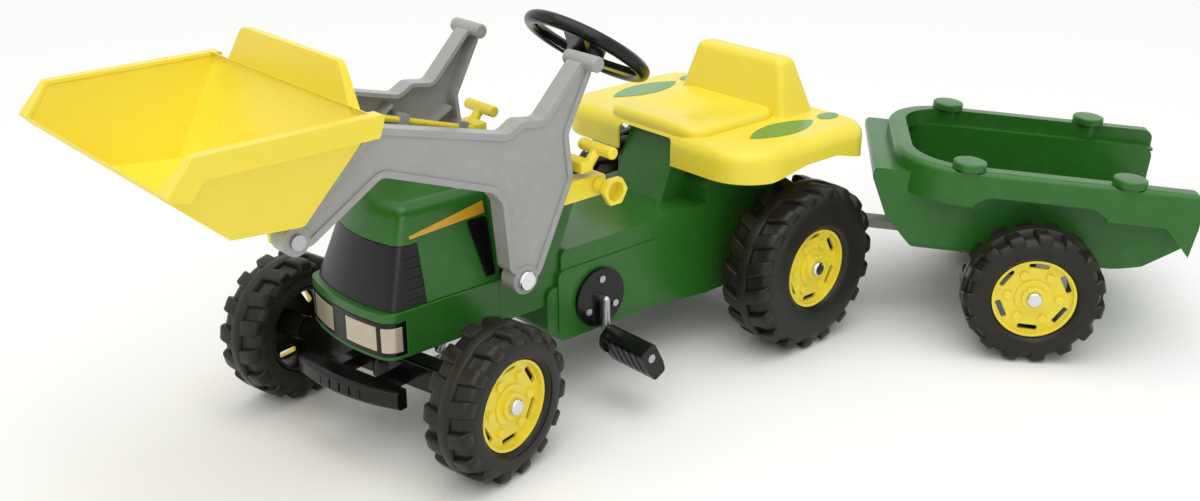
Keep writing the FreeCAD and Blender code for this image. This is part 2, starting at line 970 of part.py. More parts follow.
def crank_side(turn):
    # half of the bent crank rod on the left, with its web hanging down before the turn
    axis = Vector(-crank_back, 0, crank_height)
    bend = axis + leftward * crank_web_y
    foot = bend - upward * crank_throw
    tip = foot + leftward * (pedal_start + pedal_width - crank_web_y)
    body = joined([rod(crank_rod_radius, axis, bend), Part.makeSphere(crank_rod_radius, bend),
                   rod(crank_rod_radius, bend, foot), Part.makeSphere(crank_rod_radius, foot),
                   rod(crank_rod_radius, foot, tip)])
    return swung(body, axis, leftward, turn)


def crankshaft():
    return joined([crank_side(0), mirrored(crank_side(full_turn / 2))])


def pedal():
    # chunky foot block round the spindle, with a round flange at the crank and ribs across its tread
    half = pedal_depth / 2
    tip = pedal_tip_depth / 2
    points = [(-pedal_heel, -half), (pedal_heel, -half), (pedal_reach, -tip), (pedal_reach, tip),
              (pedal_heel, half), (-pedal_heel, half)]
    end = pedal_start + pedal_width
    block = side_slab(points, pedal_round, pedal_start + pedal_flange / 2, end)
    tread = pedal_width - pedal_flange
    step = tread / (pedal_grooves + 1)
    cutters = []
    for i in range(pedal_grooves):
        near = end - step * (i + 1) - pedal_groove / 2
        far = near + pedal_groove
        cutters.append(box(-pedal_reach, pedal_reach + overrun, near, far, half - pedal_groove, pedal_depth))
        cutters.append(box(-pedal_reach, pedal_reach + overrun, near, far, -pedal_depth, pedal_groove - half))
    flange = disc(pedal_flange_radius, pedal_start, pedal_start + pedal_flange)
    block = joined([block.cut(cutters), flange]).cut(disc(crank_rod_radius + running_gap, 0, track_half))
    return swung(block, home, leftward, -pedal_angle)


def pedal_at(height):
    return moved(pedal(), -crank_back, 0, height)


def sprocket(teeth, bore):
    points = []
    for i in range(teeth):
        for share, height_share in tooth_shares:
            angle = 2 * math.pi * (i + share) / teeth
            radius = sprocket_radius(teeth) + height_share * tooth_depth
            points.append((radius * math.cos(angle), radius * math.sin(angle)))
    half = sprocket_thickness / 2
    plate = side_slab(points, 0, chain_y - half, chain_y + half)
    collar = disc(bore * 2, chain_y - sprocket_thickness * 2, chain_y + sprocket_thickness * 2)
    return joined([plate, collar]).cut(disc(bore + seat_gap, chain_y - wheelbase, chain_y + wheelbase))


def sprocket_radius(teeth):
    return chain_pitch / 2 / math.sin(math.pi / teeth)


def chain_loop(grow):
    # outline of the run round both sprockets, grown out from the pitch line
    front = Vector(-crank_back, 0, crank_height)
    rear = Vector(-wheelbase, 0, rear_radius)
    line = front - rear
    reach = line.Length
    lean = math.asin((sprocket_radius(crank_teeth) - sprocket_radius(rear_teeth)) / reach)
    along = math.atan2(line.z, line.x)
    front_r = sprocket_radius(crank_teeth) + grow
    rear_r = sprocket_radius(rear_teeth) + grow
    upper = along + math.pi / 2 + lean
    lower = along - math.pi / 2 - lean

    def spot(centre, radius, angle):
        return centre + Vector(radius * math.cos(angle), 0, radius * math.sin(angle))

    edges = [Part.LineSegment(spot(rear, rear_r, upper), spot(front, front_r, upper)).toShape(),
             Part.Arc(spot(front, front_r, upper), spot(front, front_r, along),
                      spot(front, front_r, lower)).toShape(),
             Part.LineSegment(spot(front, front_r, lower), spot(rear, rear_r, lower)).toShape(),
             Part.Arc(spot(rear, rear_r, lower), spot(rear, rear_r, along + math.pi),
                      spot(rear, rear_r, upper)).toShape()]
    return Part.Face(Part.Wire(edges))


def drive_chain():
    # two rows of link plates beside the teeth, with rollers along the straight runs
    offset = sprocket_thickness / 2 + link_gap
    band = chain_loop(link_height / 2).cut(chain_loop(-link_height / 2))
    plate = band.extrude(Vector(0, link_thickness, 0))
    plates = [moved(plate, 0, chain_y + offset, 0), moved(plate, 0, chain_y - offset - link_thickness, 0)]
    clear = sprocket_radius(crank_teeth) + tooth_depth + roller_radius
    runs = [e for e in chain_loop(0).Edges if e.BoundBox.XLength > wheelbase / 3]
    rollers = []
    for run in runs:
        count = int((run.Length - 2 * clear) / chain_pitch)
        margin = (run.Length - (count - 1) * chain_pitch) / 2
        for i in range(count):
            spot = run.valueAt(run.FirstParameter + margin + i * chain_pitch)
            rollers.append(disc(roller_radius, chain_y - offset - link_thickness,
                                chain_y + offset + link_thickness, spot.x, spot.z))
    return joined(plates + rollers)


def rear_bush():
    flange_from = horn_end() + seat_gap
    flange_to = track_half - rear_width + hub_inset - side_gap
    body = joined([disc(bush_radius, flange_from - bush_length, flange_from, -wheelbase, rear_radius),
                   disc(horn_radius, flange_from, flange_to, -wheelbase, rear_radius)])
    return body.cut(disc(rear_axle_radius + running_gap, 0, track_half, -wheelbase, rear_radius))


def rear_axle_rod():
    end = rear_centre_y + rod_end(rear_width)
    return disc(rear_axle_radius, -end, end, -wheelbase, rear_radius)


# Seat

def seat_outline(grow):
    back = seat_rear_x - grow
    front = seat_front_x + grow
    wide = fender_half + grow
    front_corner = seat_front_corner + grow
    rear_corner = fender_corner + grow
    points = [(front, wide), (back, wide), (back, -wide), (front, -wide)]
    return points, [front_corner, rear_corner, rear_corner, front_corner]


def skirt_cutter():
    # everything under the wavy lower edge, which lifts over the rear wheels
    low = skirt_rear_low - overrun
    front = seat_front_x + overrun
    back = seat_rear_x - overrun
    edge = [(front, skirt_front_low), (skirt_front_turn_x, skirt_front_low),
            (skirt_wheel_front_x, skirt_wheel_low), (skirt_wheel_rear_x, skirt_wheel_low),
            (back, skirt_rear_low), (back, low), (front, low)]
    rounds = [0, skirt_round, skirt_round, skirt_round, 0, 0, 0]
    return side_face(edge, rounds, -track_half).extrude(Vector(0, 2 * track_half, 0))


def seat_arch():
    # opening in the front wall that the pedestal stands in
    block = box(seat_front_x - fender_round, seat_front_x + overrun, -seat_arch_half, seat_arch_half,
                skirt_rear_low - overrun, seat_arch_height)
    corners = [e for e in top_edges(block, seat_arch_height) if abs(e.tangentAt(0).x) > parallel_share]
    return block.makeFillet(seat_arch_round, corners)


def fender_table():
    low = skirt_rear_low - overrun
    points, rounds = seat_outline(0)
    outer = plan_slab(points, rounds, low, fender_top_height)
    outer = outer.makeFillet(fender_round, top_edges(outer, fender_top_height))
    points, rounds = seat_outline(-seat_wall)
    inner = plan_slab(points, rounds, low - overrun, fender_top_height - seat_wall)
    inner = inner.makeFillet(fender_round - seat_wall, top_edges(inner, fender_top_height - seat_wall))
    return outer.cut([skirt_cutter(), seat_arch()]), inner


def pan_block(grow):
    front = seat_front_x - pan_setback + grow
    half = pan_half + grow
    points = [(front, half), (pan_rear_x - grow, half), (pan_rear_x - grow, -half), (front, -half)]
    top = pan_top_height + grow
    block = plan_slab(points, even(points, pan_corner), fender_top_height - seat_wall + grow, top)
    return block.makeFillet(pan_round, top_edges(block, top))


def back_block(grow):
    wires = []
    sections = [(fender_top_height - seat_wall, back_base_front_x, back_base_rear_x, back_base_half),
                (back_top_height + grow, back_top_front_x, back_top_rear_x, back_top_half)]
    for height, front, rear, half in sections:
        points = [(front + grow, half + grow), (rear - grow, half + grow), (rear - grow, -half - grow),
                  (front + grow, -half - grow)]
        wires.append(plan_wire(points, even(points, back_corner), height))
    block = Part.makeLoft(wires, True, True)
    return block.makeFillet(back_round, top_edges(block, back_top_height + grow))


def seat():
    table, table_room = fender_table()
    body = joined([table, pan_block(0), back_block(0)])
    dish = Part.makeSphere(dish_radius, Vector(dish_x, 0, pan_top_height - dish_depth + dish_radius))
    dish = dish.common(box(seat_rear_x, 0, -pan_half, pan_half, 0, pan_top_height + overrun))
    pan_room = moved(pan_block(-seat_wall), 0, 0, -dish_depth)
    return body.cut(dish).cut(joined([table_room, pan_room, back_block(-seat_wall)]))


def leaf_points():
    middle = (leaf_inner_y + leaf_outer_y) / 2
    return [Vector(leaf_rear_x, middle, 0), Vector((leaf_front_x + leaf_rear_x) / 2, leaf_outer_y, 0),
            Vector(leaf_front_x, middle, 0), Vector((leaf_front_x + leaf_rear_x) / 2, leaf_inner_y, 0)]


def fender_inlays():
    rear, outer, front, inner = leaf_points()
    wire = Part.Wire([Part.Arc(rear, outer, front).toShape(), Part.Arc(front, inner, rear).toShape()])
    leaf = Part.Face(wire).extrude(Vector(0, 0, inlay_thickness))
    oval = Part.Face(Part.Wire(Part.Ellipse(home, badge_long, badge_short).toShape()))
    badge = moved(oval.extrude(Vector(0, 0, inlay_thickness)), badge_x, badge_y, 0)
    solids = pair(leaf) + pair(badge)
    return [moved(s, 0, 0, fender_top_height) for s in solids]


# Loader

arm_outline_shares = [(0.075, 0.06), (0.105, 0.42), (0.15, 0.487), (0.64, 0.70), (0.965, 0.465),
                      (1.026, 0.565), (0.697, 0.885), (0.63, 0.917), (0.067, 0.745), (0.0, 0.79),
                      (-0.105, 0.77), (-0.306, 1.018), (-0.365, 0.972), (-0.232, 0.675), (-0.255, 0.45),
                      (-0.065, -0.02)]
arm_rib_shares = [((-0.20, 0.62), (0.09, 0.44)), ((0.10, 0.70), (0.30, 0.55)), ((0.30, 0.55), (0.42, 0.82)),
                  ((0.42, 0.82), (0.62, 0.69)), ((0.03, 0.42), (-0.12, 0.26))]


def arm_spot(share):
    return (loader_x + arm_reach * share[0], loader_z + arm_height * share[1])


def arm_face(y, inset):
    points = [arm_spot(s) for s in arm_outline_shares]
    face = side_face(points, even(points, arm_round), y)
    if inset:
        face = face.makeOffset2D(-inset)
    return face


def arm_ribs():
    ribs = []
    for start, end in arm_rib_shares:
        a = Vector(arm_spot(start)[0], 0, arm_spot(start)[1])
        b = Vector(arm_spot(end)[0], 0, arm_spot(end)[1])
        across = (b - a).normalize().cross(leftward) * (arm_rib / 2)
        points = [(a + across), (b + across), (b - across), (a - across)]
        ribs.append(side_slab([(p.x, p.z) for p in points], 0, arm_inner_y, arm_outer_y - arm_skin))
    return ribs


def rod_spot(share, y):
    front = Vector(rod_front_x, y, rod_front_z)
    rear = Vector(rod_rear_x, y, rod_rear_z)
    return rear + (front - rear) * share


def rod_guides():
    # eyes on the inside of the arm that the pull rod slides through
    guides = []
    for share in guide_shares:
        middle = rod_spot(share, 0)
        half = rod_along * (guide_width / 2)
        lift = rod_along.cross(leftward) * guide_half
        corners = [middle - half - lift, middle + half - lift, middle + half + lift, middle - half + lift]
        guides.append(side_slab([(p.x, p.z) for p in corners], 0, rod_inner_y, arm_outer_y - arm_skin))
    return guides


def loader_arm():
    slab = arm_face(arm_inner_y, 0).extrude(Vector(0, arm_thickness, 0))
    panel = arm_face(arm_outer_y - arm_recess, arm_bead).extrude(Vector(0, arm_recess + overrun, 0))
    pocket = arm_face(arm_inner_y - overrun, arm_bead - arm_recess).extrude(
        Vector(0, arm_thickness - arm_skin - arm_recess + overrun, 0))
    grip = disc(grip_radius, pull_y - arm_skin - grip_length / 2, pull_y - arm_skin + grip_length / 2,
                grip_x, grip_z)
    grip = grip.makeFillet(grip_radius / 3, [e for e in grip.Edges if e.BoundBox.YLength < seat_gap])
    plates = [disc(arm_boss_radius, arm_inner_y, arm_outer_y, loader_x, loader_z),
              disc(nose_radius, arm_inner_y, arm_outer_y, bucket_pin_x, bucket_pin_z)]
    body = joined([slab.cut([pocket, panel])] + plates + [grip] + arm_ribs() + rod_guides())
    track = rod(rod_radius + running_gap, rod_spot(-1, rod_y), rod_spot(2, rod_y))
    body = body.cut([track, disc(loader_pin_radius + running_gap, 0, track_half, loader_x, loader_z)])
    return body.cut(disc(bucket_bolt_radius + seat_gap, 0, track_half, bucket_pin_x, bucket_pin_z))


def pivot_spacer():
    body = disc(loader_pin_radius * 2, tower_half + seat_gap, arm_inner_y - seat_gap, loader_x, loader_z)
    return body.cut(disc(loader_pin_radius + seat_gap, 0, track_half, loader_x, loader_z))


def pivot_rod():
    end = arm_outer_y + side_gap + pivot_cap_height / 2
    return disc(loader_pin_radius, -end, end, loader_x, loader_z)


def pivot_cap():
    start = arm_outer_y + seat_gap
    points = [(0, start), (pivot_cap_radius, start), (pivot_cap_radius, start + pivot_cap_height),
              (0, start + pivot_cap_height)]
    dome = turned(points, [0, 0, pivot_cap_height / 2, 0])
    socket = disc(loader_pin_radius + seat_gap, 0,
                  arm_outer_y + side_gap + pivot_cap_height / 2 + seat_gap)
    return moved(dome.cut(socket), loader_x, 0, loader_z)


def bucket_bolt():
    end = arm_outer_y + seat_gap
    start = ear_y - seat_gap - bolt_head_height
    body = joined([disc(bucket_bolt_radius, start, end, bucket_pin_x, bucket_pin_z),
                   disc(bolt_head_radius, end, end + bolt_head_height, bucket_pin_x, bucket_pin_z),
                   disc(bolt_head_radius, start, start + bolt_head_height, bucket_pin_x, bucket_pin_z)])
    return body


bucket_outline_shares = [(1.0, 0.736), (0.80, 1.0), (-0.51, 1.0), (-0.327, 0.693), (-0.006, 0.164),
                         (0.52, 0.221)]
crest_outline_shares = [(-0.533, 1.3), (-0.51, 0.9), (-0.42, 0.86), (-0.485, 1.3)]
ear_outline_shares = [(0.09, -0.05), (0.02, 0.2), (-0.30, 0.72), (-0.42, 0.86), (-0.52, 0.80),
                      (-0.42, 0.45), (-0.09, -0.07)]


def bucket_spot(share):
    return (bucket_pin_x + bucket_reach * share[0], bucket_pin_z + bucket_height * share[1])


def bucket_hull(shrink):
    # scoop whose sides close in towards its heel
    points = [bucket_spot(s) for s in bucket_outline_shares]
    face = side_face(points, even(points, crest_round / 2), -bucket_lip_half)
    if shrink:
        face = face.makeOffset2D(-shrink)
    hull = face.extrude(Vector(0, 2 * bucket_lip_half, 0))
    low = bucket_pin_z + bucket_floor_z
    high = bucket_pin_z + bucket_height
    wide = wheelbase
    tall = high + (high - low)
    spread = (bucket_half - bucket_floor_half) * 2 + bucket_floor_half - shrink
    floor = bucket_floor_half - shrink
    below = floor - (spread - floor) * (low / (tall - low))
    outline = [(below, 0), (spread, tall), (-spread, tall), (-below, 0)]
    mould = Part.Face(corner_wire(outline, even(outline, 0), lambda y, z: Vector(-wide, y, z)))
    return hull.common(mould.extrude(Vector(2 * wide, 0, 0)))


def bucket_band():
    # thick turned-down edge along the top of each side
    top = bucket_pin_z + bucket_height
    front = bucket_spot(bucket_outline_shares[1])
    rear = bucket_spot(bucket_outline_shares[2])
    lip = bucket_spot(bucket_outline_shares[0])
    points = [(rear[0], top), front, lip, (lip[0] - bucket_rim, lip[1] - bucket_rim * lip_drop_share),
              (front[0] - bucket_rim * rim_taper_share, top - bucket_rim),
              (rear[0] + bucket_rim * rim_taper_share, top - bucket_rim)]
    return side_slab(points, bucket_rim_lip / 2, bucket_half - bucket_wall - bucket_rim_lip,
                     bucket_lip_half)


def bucket_crest():
    shape = side_slab([bucket_spot(s) for s in crest_outline_shares], 0, -bucket_half, bucket_half)
    top = bucket_pin_z + crest_rise
    base = bucket_pin_z + bucket_height * crest_base_share
    points = [(crest_top_half, top), (crest_base_half, base), (-crest_base_half, base),
              (-crest_top_half, top)]
    mask = Part.Face(corner_wire(points, [crest_round, 0, 0, crest_round], lambda y, z: Vector(0, y, z)))
    return shape.common(mask.extrude(Vector(wheelbase, 0, 0)))


def bucket():
    top = bucket_pin_z + bucket_height
    hollow = bucket_hull(bucket_wall)
    front_open = [moved(hollow, 0, 0, bucket_wall), moved(hollow, bucket_wall, 0, bucket_wall)]
    ear = side_slab([bucket_spot(s) for s in ear_outline_shares], 0, ear_y, ear_y + ear_thickness)
    eye = disc(ear_radius, ear_y, ear_y + ear_thickness, bucket_pin_x, bucket_pin_z)
    shell = bucket_hull(0)
    bands = pair(bucket_band().common(box(0, wheelbase, 0, track_half, 0, top)))
    body = joined([shell] + bands).cut([hollow] + front_open)
    body = joined([body, bucket_crest()] + [p.cut(hollow) for p in pair(ear) + pair(eye)])
    return body.cut(disc(bucket_bolt_radius + running_gap, -track_half, track_half, bucket_pin_x,
                         bucket_pin_z))


def pull_rod():
    # sliding rod on the inside of the arm, with its T pull behind the arm
    front = rod_spot(1, rod_y)
    rear = rod_spot(0, rod_y)
    half = link_block / 2
    block = box(rod_rear_x - half, rod_rear_x + half, rod_inner_y, link_outer_y, rod_rear_z - half / 2,
                rod_rear_z + half)
    block = block.makeFillet(rod_radius / 2, block.Edges)
    grip = disc(pull_radius, pull_y - pull_length / 2, pull_y + pull_length / 2, pull_x, pull_z)
    grip = grip.makeFillet(pull_radius / 3, [e for e in grip.Edges if e.BoundBox.YLength < seat_gap])
    stem = rod(pull_stem_radius, Vector(rod_rear_x - half / 2, pull_y, rod_rear_z),
               Vector(pull_x, pull_y, pull_z))
    return joined([rod(rod_radius, rear, front), block, grip, stem])


def lever_bracket():
    # block bolted to the back of the arm, which carries the hand knob
    points = [(bracket_rear_x, bracket_low), (bracket_front_x, bracket_low),
              (bracket_front_x, bracket_high),
              (bracket_rear_x, bracket_high)]
    block = side_slab(points, bracket_round, arm_inner_y + bracket_side, arm_outer_y - bracket_side)
    arm_room = arm_face(arm_inner_y, -seat_gap).extrude(Vector(0, arm_thickness, 0))
    bore = disc(knob_stem_radius + running_gap, 0, track_half, knob_x, knob_z)
    return block.cut([arm_room, bore])


def hand_knob():
    # six sided flared knob, hollow at its end
    stem = disc(knob_stem_radius, arm_inner_y, knob_start, knob_x, knob_z)
    barrel = disc(knob_barrel_radius, knob_start, knob_neck, knob_x, knob_z)
    wires = []
    for y, radius in ((knob_neck, knob_barrel_radius), (knob_end - knob_hollow_depth / 2, knob_flare),
                      (knob_end, knob_flare)):
        points = []
        for i in range(hub_patterns):
            angle = 2 * math.pi * i / hub_patterns
            points.append((knob_x + radius * math.cos(angle), knob_z + radius * math.sin(angle)))
        wires.append(side_face(points, even(points, radius / 4), y).OuterWire)
    flare = Part.makeLoft(wires, True, True)
    hollow = disc(knob_hollow, knob_end - knob_hollow_depth, knob_end + overrun, knob_x, knob_z)
    return joined([stem, barrel, flare]).cut(hollow)


# Hitch and trailer

def tow_hitch():
    back = body_rear_x - seat_gap
    flange = box(back - hitch_flange, back, -hitch_half, hitch_half, hitch_flange_low, hitch_flange_high)
    tongue = box(hitch_x, back - hitch_flange / 2, -hitch_half, hitch_half, hitch_height - hitch_plate,
                 hitch_height)
    nose = post(hitch_half, hitch_height - hitch_plate, hitch_height, hitch_x)
    return joined([flange, tongue, nose]).cut(post(tow_pin_radius + seat_gap, 0, wheelbase, hitch_x))


def tow_pin():
    low = hitch_height - hitch_plate - tow_pin_tail
    top = hitch_height + side_gap + eye_height + side_gap
    shank = post(tow_pin_radius, low, top, hitch_x)
    head = post(tow_pin_head_radius, top, top + tow_pin_head, hitch_x)
    clip = post(tow_pin_head_radius, low, hitch_height - hitch_plate - seat_gap, hitch_x)
    return joined([shank, head.makeFillet(tow_pin_head / 3, head.Edges), clip])


def hitched(shape):
    # from the trailer's own frame, on its axle over the ground, to its place behind the tractor
    placed = swung(shape, Vector(0, 0, front_radius), leftward, -rest_pitch)
    placed = moved(placed, -drawbar_length, 0, 0)
    placed = swung(placed, home, upward, rest_yaw)
    return moved(placed, hitch_x, 0, 0)


def drawbar():
    bar = box(-bracket_half_length, drawbar_length - eye_radius / 2, -drawbar_half, drawbar_half,
              drawbar_low, drawbar_low + drawbar_depth)
    bar = bar.makeFillet(body_wall / 2, [e for e in bar.Edges if abs(e.tangentAt(0).x) > parallel_share])
    low = hitch_height + side_gap
    eye = post(eye_radius, low, low + eye_height, hitch_x)
    keep = hitched(bar).cut(post(eye_radius - overrun, 0, wheelbase, hitch_x))
    flat = post(eye_radius * 2, 0, low, hitch_x)
    body = joined([keep.cut(flat), eye])
    return body.cut(post(tow_pin_radius + running_gap, 0, wheelbase, hitch_x))


def axle_bracket():
    half = bracket_half_length
    low = front_radius - bracket_drop
    plate = box(-half, half, bracket_y - bracket_thickness / 2, bracket_y + bracket_thickness / 2, low,
                tub_bottom - seat_gap)
    end = track_half - front_width + hub_inset - side_gap
    sleeve = disc(sleeve_radius, bracket_y, end, 0, front_radius)
    return joined([plate, sleeve]).cut(disc(axle_radius + seat_gap, 0, track_half, 0, front_radius))


def trailer_axle():
    end = front_centre_y + rod_end(front_width)
    return disc(axle_radius, -end, end, 0, front_radius)


def rim_outline(grow):
    front = rim_front + grow
    half = rim_half + grow
    points = [(-tub_rear, half), (front, half), (front, -half), (-tub_rear, -half)]
    corner = rim_corner + grow
    return points, [0, corner, corner, 0]


hull_outline_shares = [(0.534, 0.845), (0.534, 0.74), (0.475, 0.34), (0.37, 0.0), (-0.245, 0.0),
                       (-0.352, 0.10),
                       (-0.466, 0.36), (-0.466, 0.845)]


def hull(shrink):
    # side outline crossed with an end outline that rounds the lower edges
    depth = rim_high - tub_bottom
    points = [(tub_length * x, tub_bottom + depth * z) for x, z in hull_outline_shares]
    face = side_face(points, even(points, tub_round), -tub_half)
    if shrink:
        face = face.makeOffset2D(-shrink)
    block = face.extrude(Vector(0, 2 * tub_half, 0))
    half = tub_half - shrink
    low = tub_bottom + shrink
    ends = [(half, low), (half, rim_high), (-half, rim_high), (-half, low)]
    radius = tub_round - shrink
    wire = corner_wire(ends, [radius, 0, 0, radius], lambda y, z: Vector(-tub_length, y, z))
    return block.common(Part.Face(wire).extrude(Vector(2 * tub_length, 0, 0)))


def rim_band():
    points, rounds = rim_outline(0)
    outer = plan_slab(points, rounds, rim_low, rim_high)
    outer = outer.makeFillet(rim_round,
                             [e for e in top_edges(outer,
                                                   rim_high) if e.BoundBox.XMax > overrun - tub_rear])
    # the two rear ends have their upper corners rounded off
    side = [(-tub_rear, rim_low), (-tub_rear, rim_high), (tub_length, rim_high), (tub_length, rim_low)]
    side = side_face(side, [0, tail_corner, 0, 0], -track_half)
    outer = outer.common(side.extrude(Vector(0, 2 * track_half, 0)))
    points, rounds = rim_outline(-rim_width)
    points = [(x - (overrun if x < 0 else 0), y) for x, y in points]
    inner = plan_slab(points, rounds, rim_low - overrun, rim_high + overrun)
    ledge_points, ledge_rounds = rim_outline(-tub_wall)
    ledge = plan_slab(ledge_points, ledge_rounds, tub_deck - tub_wall, tub_deck)
    tail = [(-tub_rear, rim_low + overrun), (-tub_rear + overrun, tail_drop),
            (tail_length - tub_rear, rim_low + overrun)]
    fin = side_slab(tail, 0, rim_half - rim_width / 2, rim_half)
    return joined([outer.cut(inner), ledge] + pair(fin))


def arch_cutter():
    points = [(arch_front + arch_round, rim_low - overrun), (arch_front - arch_round / 2, arch_height),
              (-arch_rear + arch_round / 2, arch_height), (-arch_rear - arch_round, rim_low - overrun)]
    return side_slab(points, arch_round, tub_half, track_half)


def rim_underside():
    # hollow below the rim, so that it is a turned-down edge and not a block
    points, rounds = rim_outline(-tub_wall)
    room = plan_slab(points, rounds, rim_low - overrun, tub_deck - tub_wall)
    return room.cut(hull(0))


def stake_places():
    return [(x, y) for x in (stake_front, stake_rear) for y in (stake_y, -stake_y)]


def trailer_tub():
    room = hull(tub_wall)
    tall = rim_high - tub_bottom
    band = rim_band().cut([rim_underside()])
    posts = [post(post_radius, tub_deck - tub_wall, rim_high, x, y) for x, y in stake_places()]
    points, rounds = rim_outline(0)
    posts = [p.common(plan_slab(points, rounds, tub_bottom, rim_high)) for p in posts]
    body = joined([band, hull(0)] + posts)
    mouth = box(-tub_rear - overrun, 3 * tub_wall - tub_rear + overrun, tub_wall - tub_half,
                tub_half - tub_wall, tub_bottom + tall * mouth_share, rim_high)
    inside = plan_slab(*rim_outline(-rim_width), tub_deck - tall / 2, rim_high)
    upper_room = moved(room, 0, 0, tall / 2).common(inside)
    body = body.cut([room, upper_room, mouth, arch_cutter(), mirrored(arch_cutter())])
    sockets = [post(stake_stem_radius + seat_gap, rim_high - stake_stem_length - seat_gap,
                    rim_high + overrun, x, y)
               for x, y in stake_places()]
    return body.cut(sockets)


def stake_plug():
    head = post(stake_disc_radius, rim_high, rim_high + stake_disc_height)
    head = head.makeFillet(stake_round, top_edges(head, rim_high + stake_disc_height))
    return joined([head, post(stake_stem_radius, rim_high - stake_stem_length, rim_high)])


# Assembly

nodes = {}


def tractor_nodes():
    nodes["chassis_body"] = chassis_body()
    nodes["hood"] = hood()
    nodes["nose_cowl"] = nose_cowl()
    nodes["grille"] = grille()
    nodes["lamp_panel"] = lamp_panel()
    nodes["lamps"] = lamps()
    nodes["hood_stripes"] = hood_stripes()
    nodes["front_bumper"] = front_bumper()
    nodes["kingpin"] = kingpin()
    nodes["seat"] = seat()
    nodes["fender_inlays"] = fender_inlays()
    nodes["crank_flanges"] = pair(crank_flange())
    nodes["flange_screws"] = flange_screw_set()
    nodes["rear_axle_bushes"] = pair(rear_bush())
    nodes["drive_chain"] = drive_chain()
    nodes["column_boot"] = column_boot()
    nodes["loader_pivot_rod"] = pivot_rod()
    nodes["pivot_spacers"] = pair(pivot_spacer())
    nodes["pivot_caps"] = pair(pivot_cap())
    nodes["tow_hitch"] = tow_hitch()
    nodes["tow_pin"] = tow_pin()


def steering_nodes():
    nodes["steering_wheel"] = steering_wheel()
    nodes["steering_column"] = steering_column()
    nodes["front_axle_beam"] = front_axle_beam()
    nodes["front_axle_rods"] = front_axle_rod()
    caps = pair(moved(axle_cap(front_width, axle_radius), 0, front_centre_y, front_radius))
    nodes["front_axle_caps"] = [steered(c) for c in caps]
    wheel_set(("front_left", "front_right"), front_radius, front_width, front_lugs, front_centre_y,
              axle_radius + running_gap, lambda s: steered(moved(s, 0, 0, front_radius)))


def drive_nodes():
    nodes["crankshaft"] = crankshaft()
    nodes["crank_sprocket"] = moved(sprocket(crank_teeth, crank_rod_radius), -crank_back, 0, crank_height)
    nodes["pedal_left"] = pedal_at(crank_height - crank_throw)
    nodes["pedal_right"] = mirrored(pedal_at(crank_height + crank_throw))
    nodes["rear_axle"] = rear_axle_rod()
    nodes["rear_sprocket"] = moved(sprocket(rear_teeth, rear_axle_radius), -wheelbase, 0, rear_radius)
    nodes["rear_axle_caps"] = pair(moved(axle_cap(rear_width, rear_axle_radius), -wheelbase,
                                         rear_centre_y, rear_radius))
    wheel_set(("rear_left", "rear_right"), rear_radius, rear_width, rear_lugs, rear_centre_y,
              rear_axle_radius + running_gap, lambda s: moved(s, -wheelbase, 0, rear_radius))


def loader_nodes():
    for side, name in zip((pair_left, mirrored), ("left", "right")):
        nodes["loader_arm_" + name] = side(loader_arm())
        nodes["pull_rod_" + name] = side(pull_rod())
        nodes["hand_knob_" + name] = side(hand_knob())
    nodes["lever_brackets"] = pair(lever_bracket())
    nodes["bucket_bolts"] = pair(bucket_bolt())
    nodes["bucket"] = bucket()


def trailer_nodes():
    nodes["trailer_tub"] = hitched(trailer_tub())
    nodes["stake_plugs"] = [hitched(moved(stake_plug(), x, y, 0)) for x, y in stake_places()]
    nodes["drawbar"] = drawbar()
    nodes["trailer_axle"] = hitched(trailer_axle())
    nodes["axle_brackets"] = [hitched(b) for b in pair(axle_bracket())]
    caps = pair(moved(axle_cap(front_width, axle_radius), 0, front_centre_y, front_radius))
    nodes["trailer_axle_caps"] = [hitched(c) for c in caps]
    wheel_set(("trailer_left", "trailer_right"), front_radius, front_width, front_lugs, front_centre_y,
              axle_radius + running_gap, lambda s: hitched(moved(s, 0, 0, front_radius)))


def as_shape(piece):
    return Part.makeCompound(piece) if isinstance(piece, list) else piece


def base_centre(shapes):
    # middle of the set's bounding box, on the ground
    bounds = Part.makeCompound(shapes).optimalBoundingBox(False, False)
    return Vector(bounds.Center.x, bounds.Center.y, 0)


tractor_nodes()
steering_nodes()
drive_nodes()
loader_nodes()
trailer_nodes()
shapes = {name: as_shape(piece) for name, piece in nodes.items()}
origin = base_centre(list(shapes.values()))
os.makedirs("parts", exist_ok=True)
for name, shape in shapes.items():
    shape.translated(-origin).exportStep("parts/" + name + ".step")
print("nodes", len(shapes), "origin", origin)
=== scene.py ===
import json
import math

import bmesh
import bpy
from mathutils import Matrix, Vector

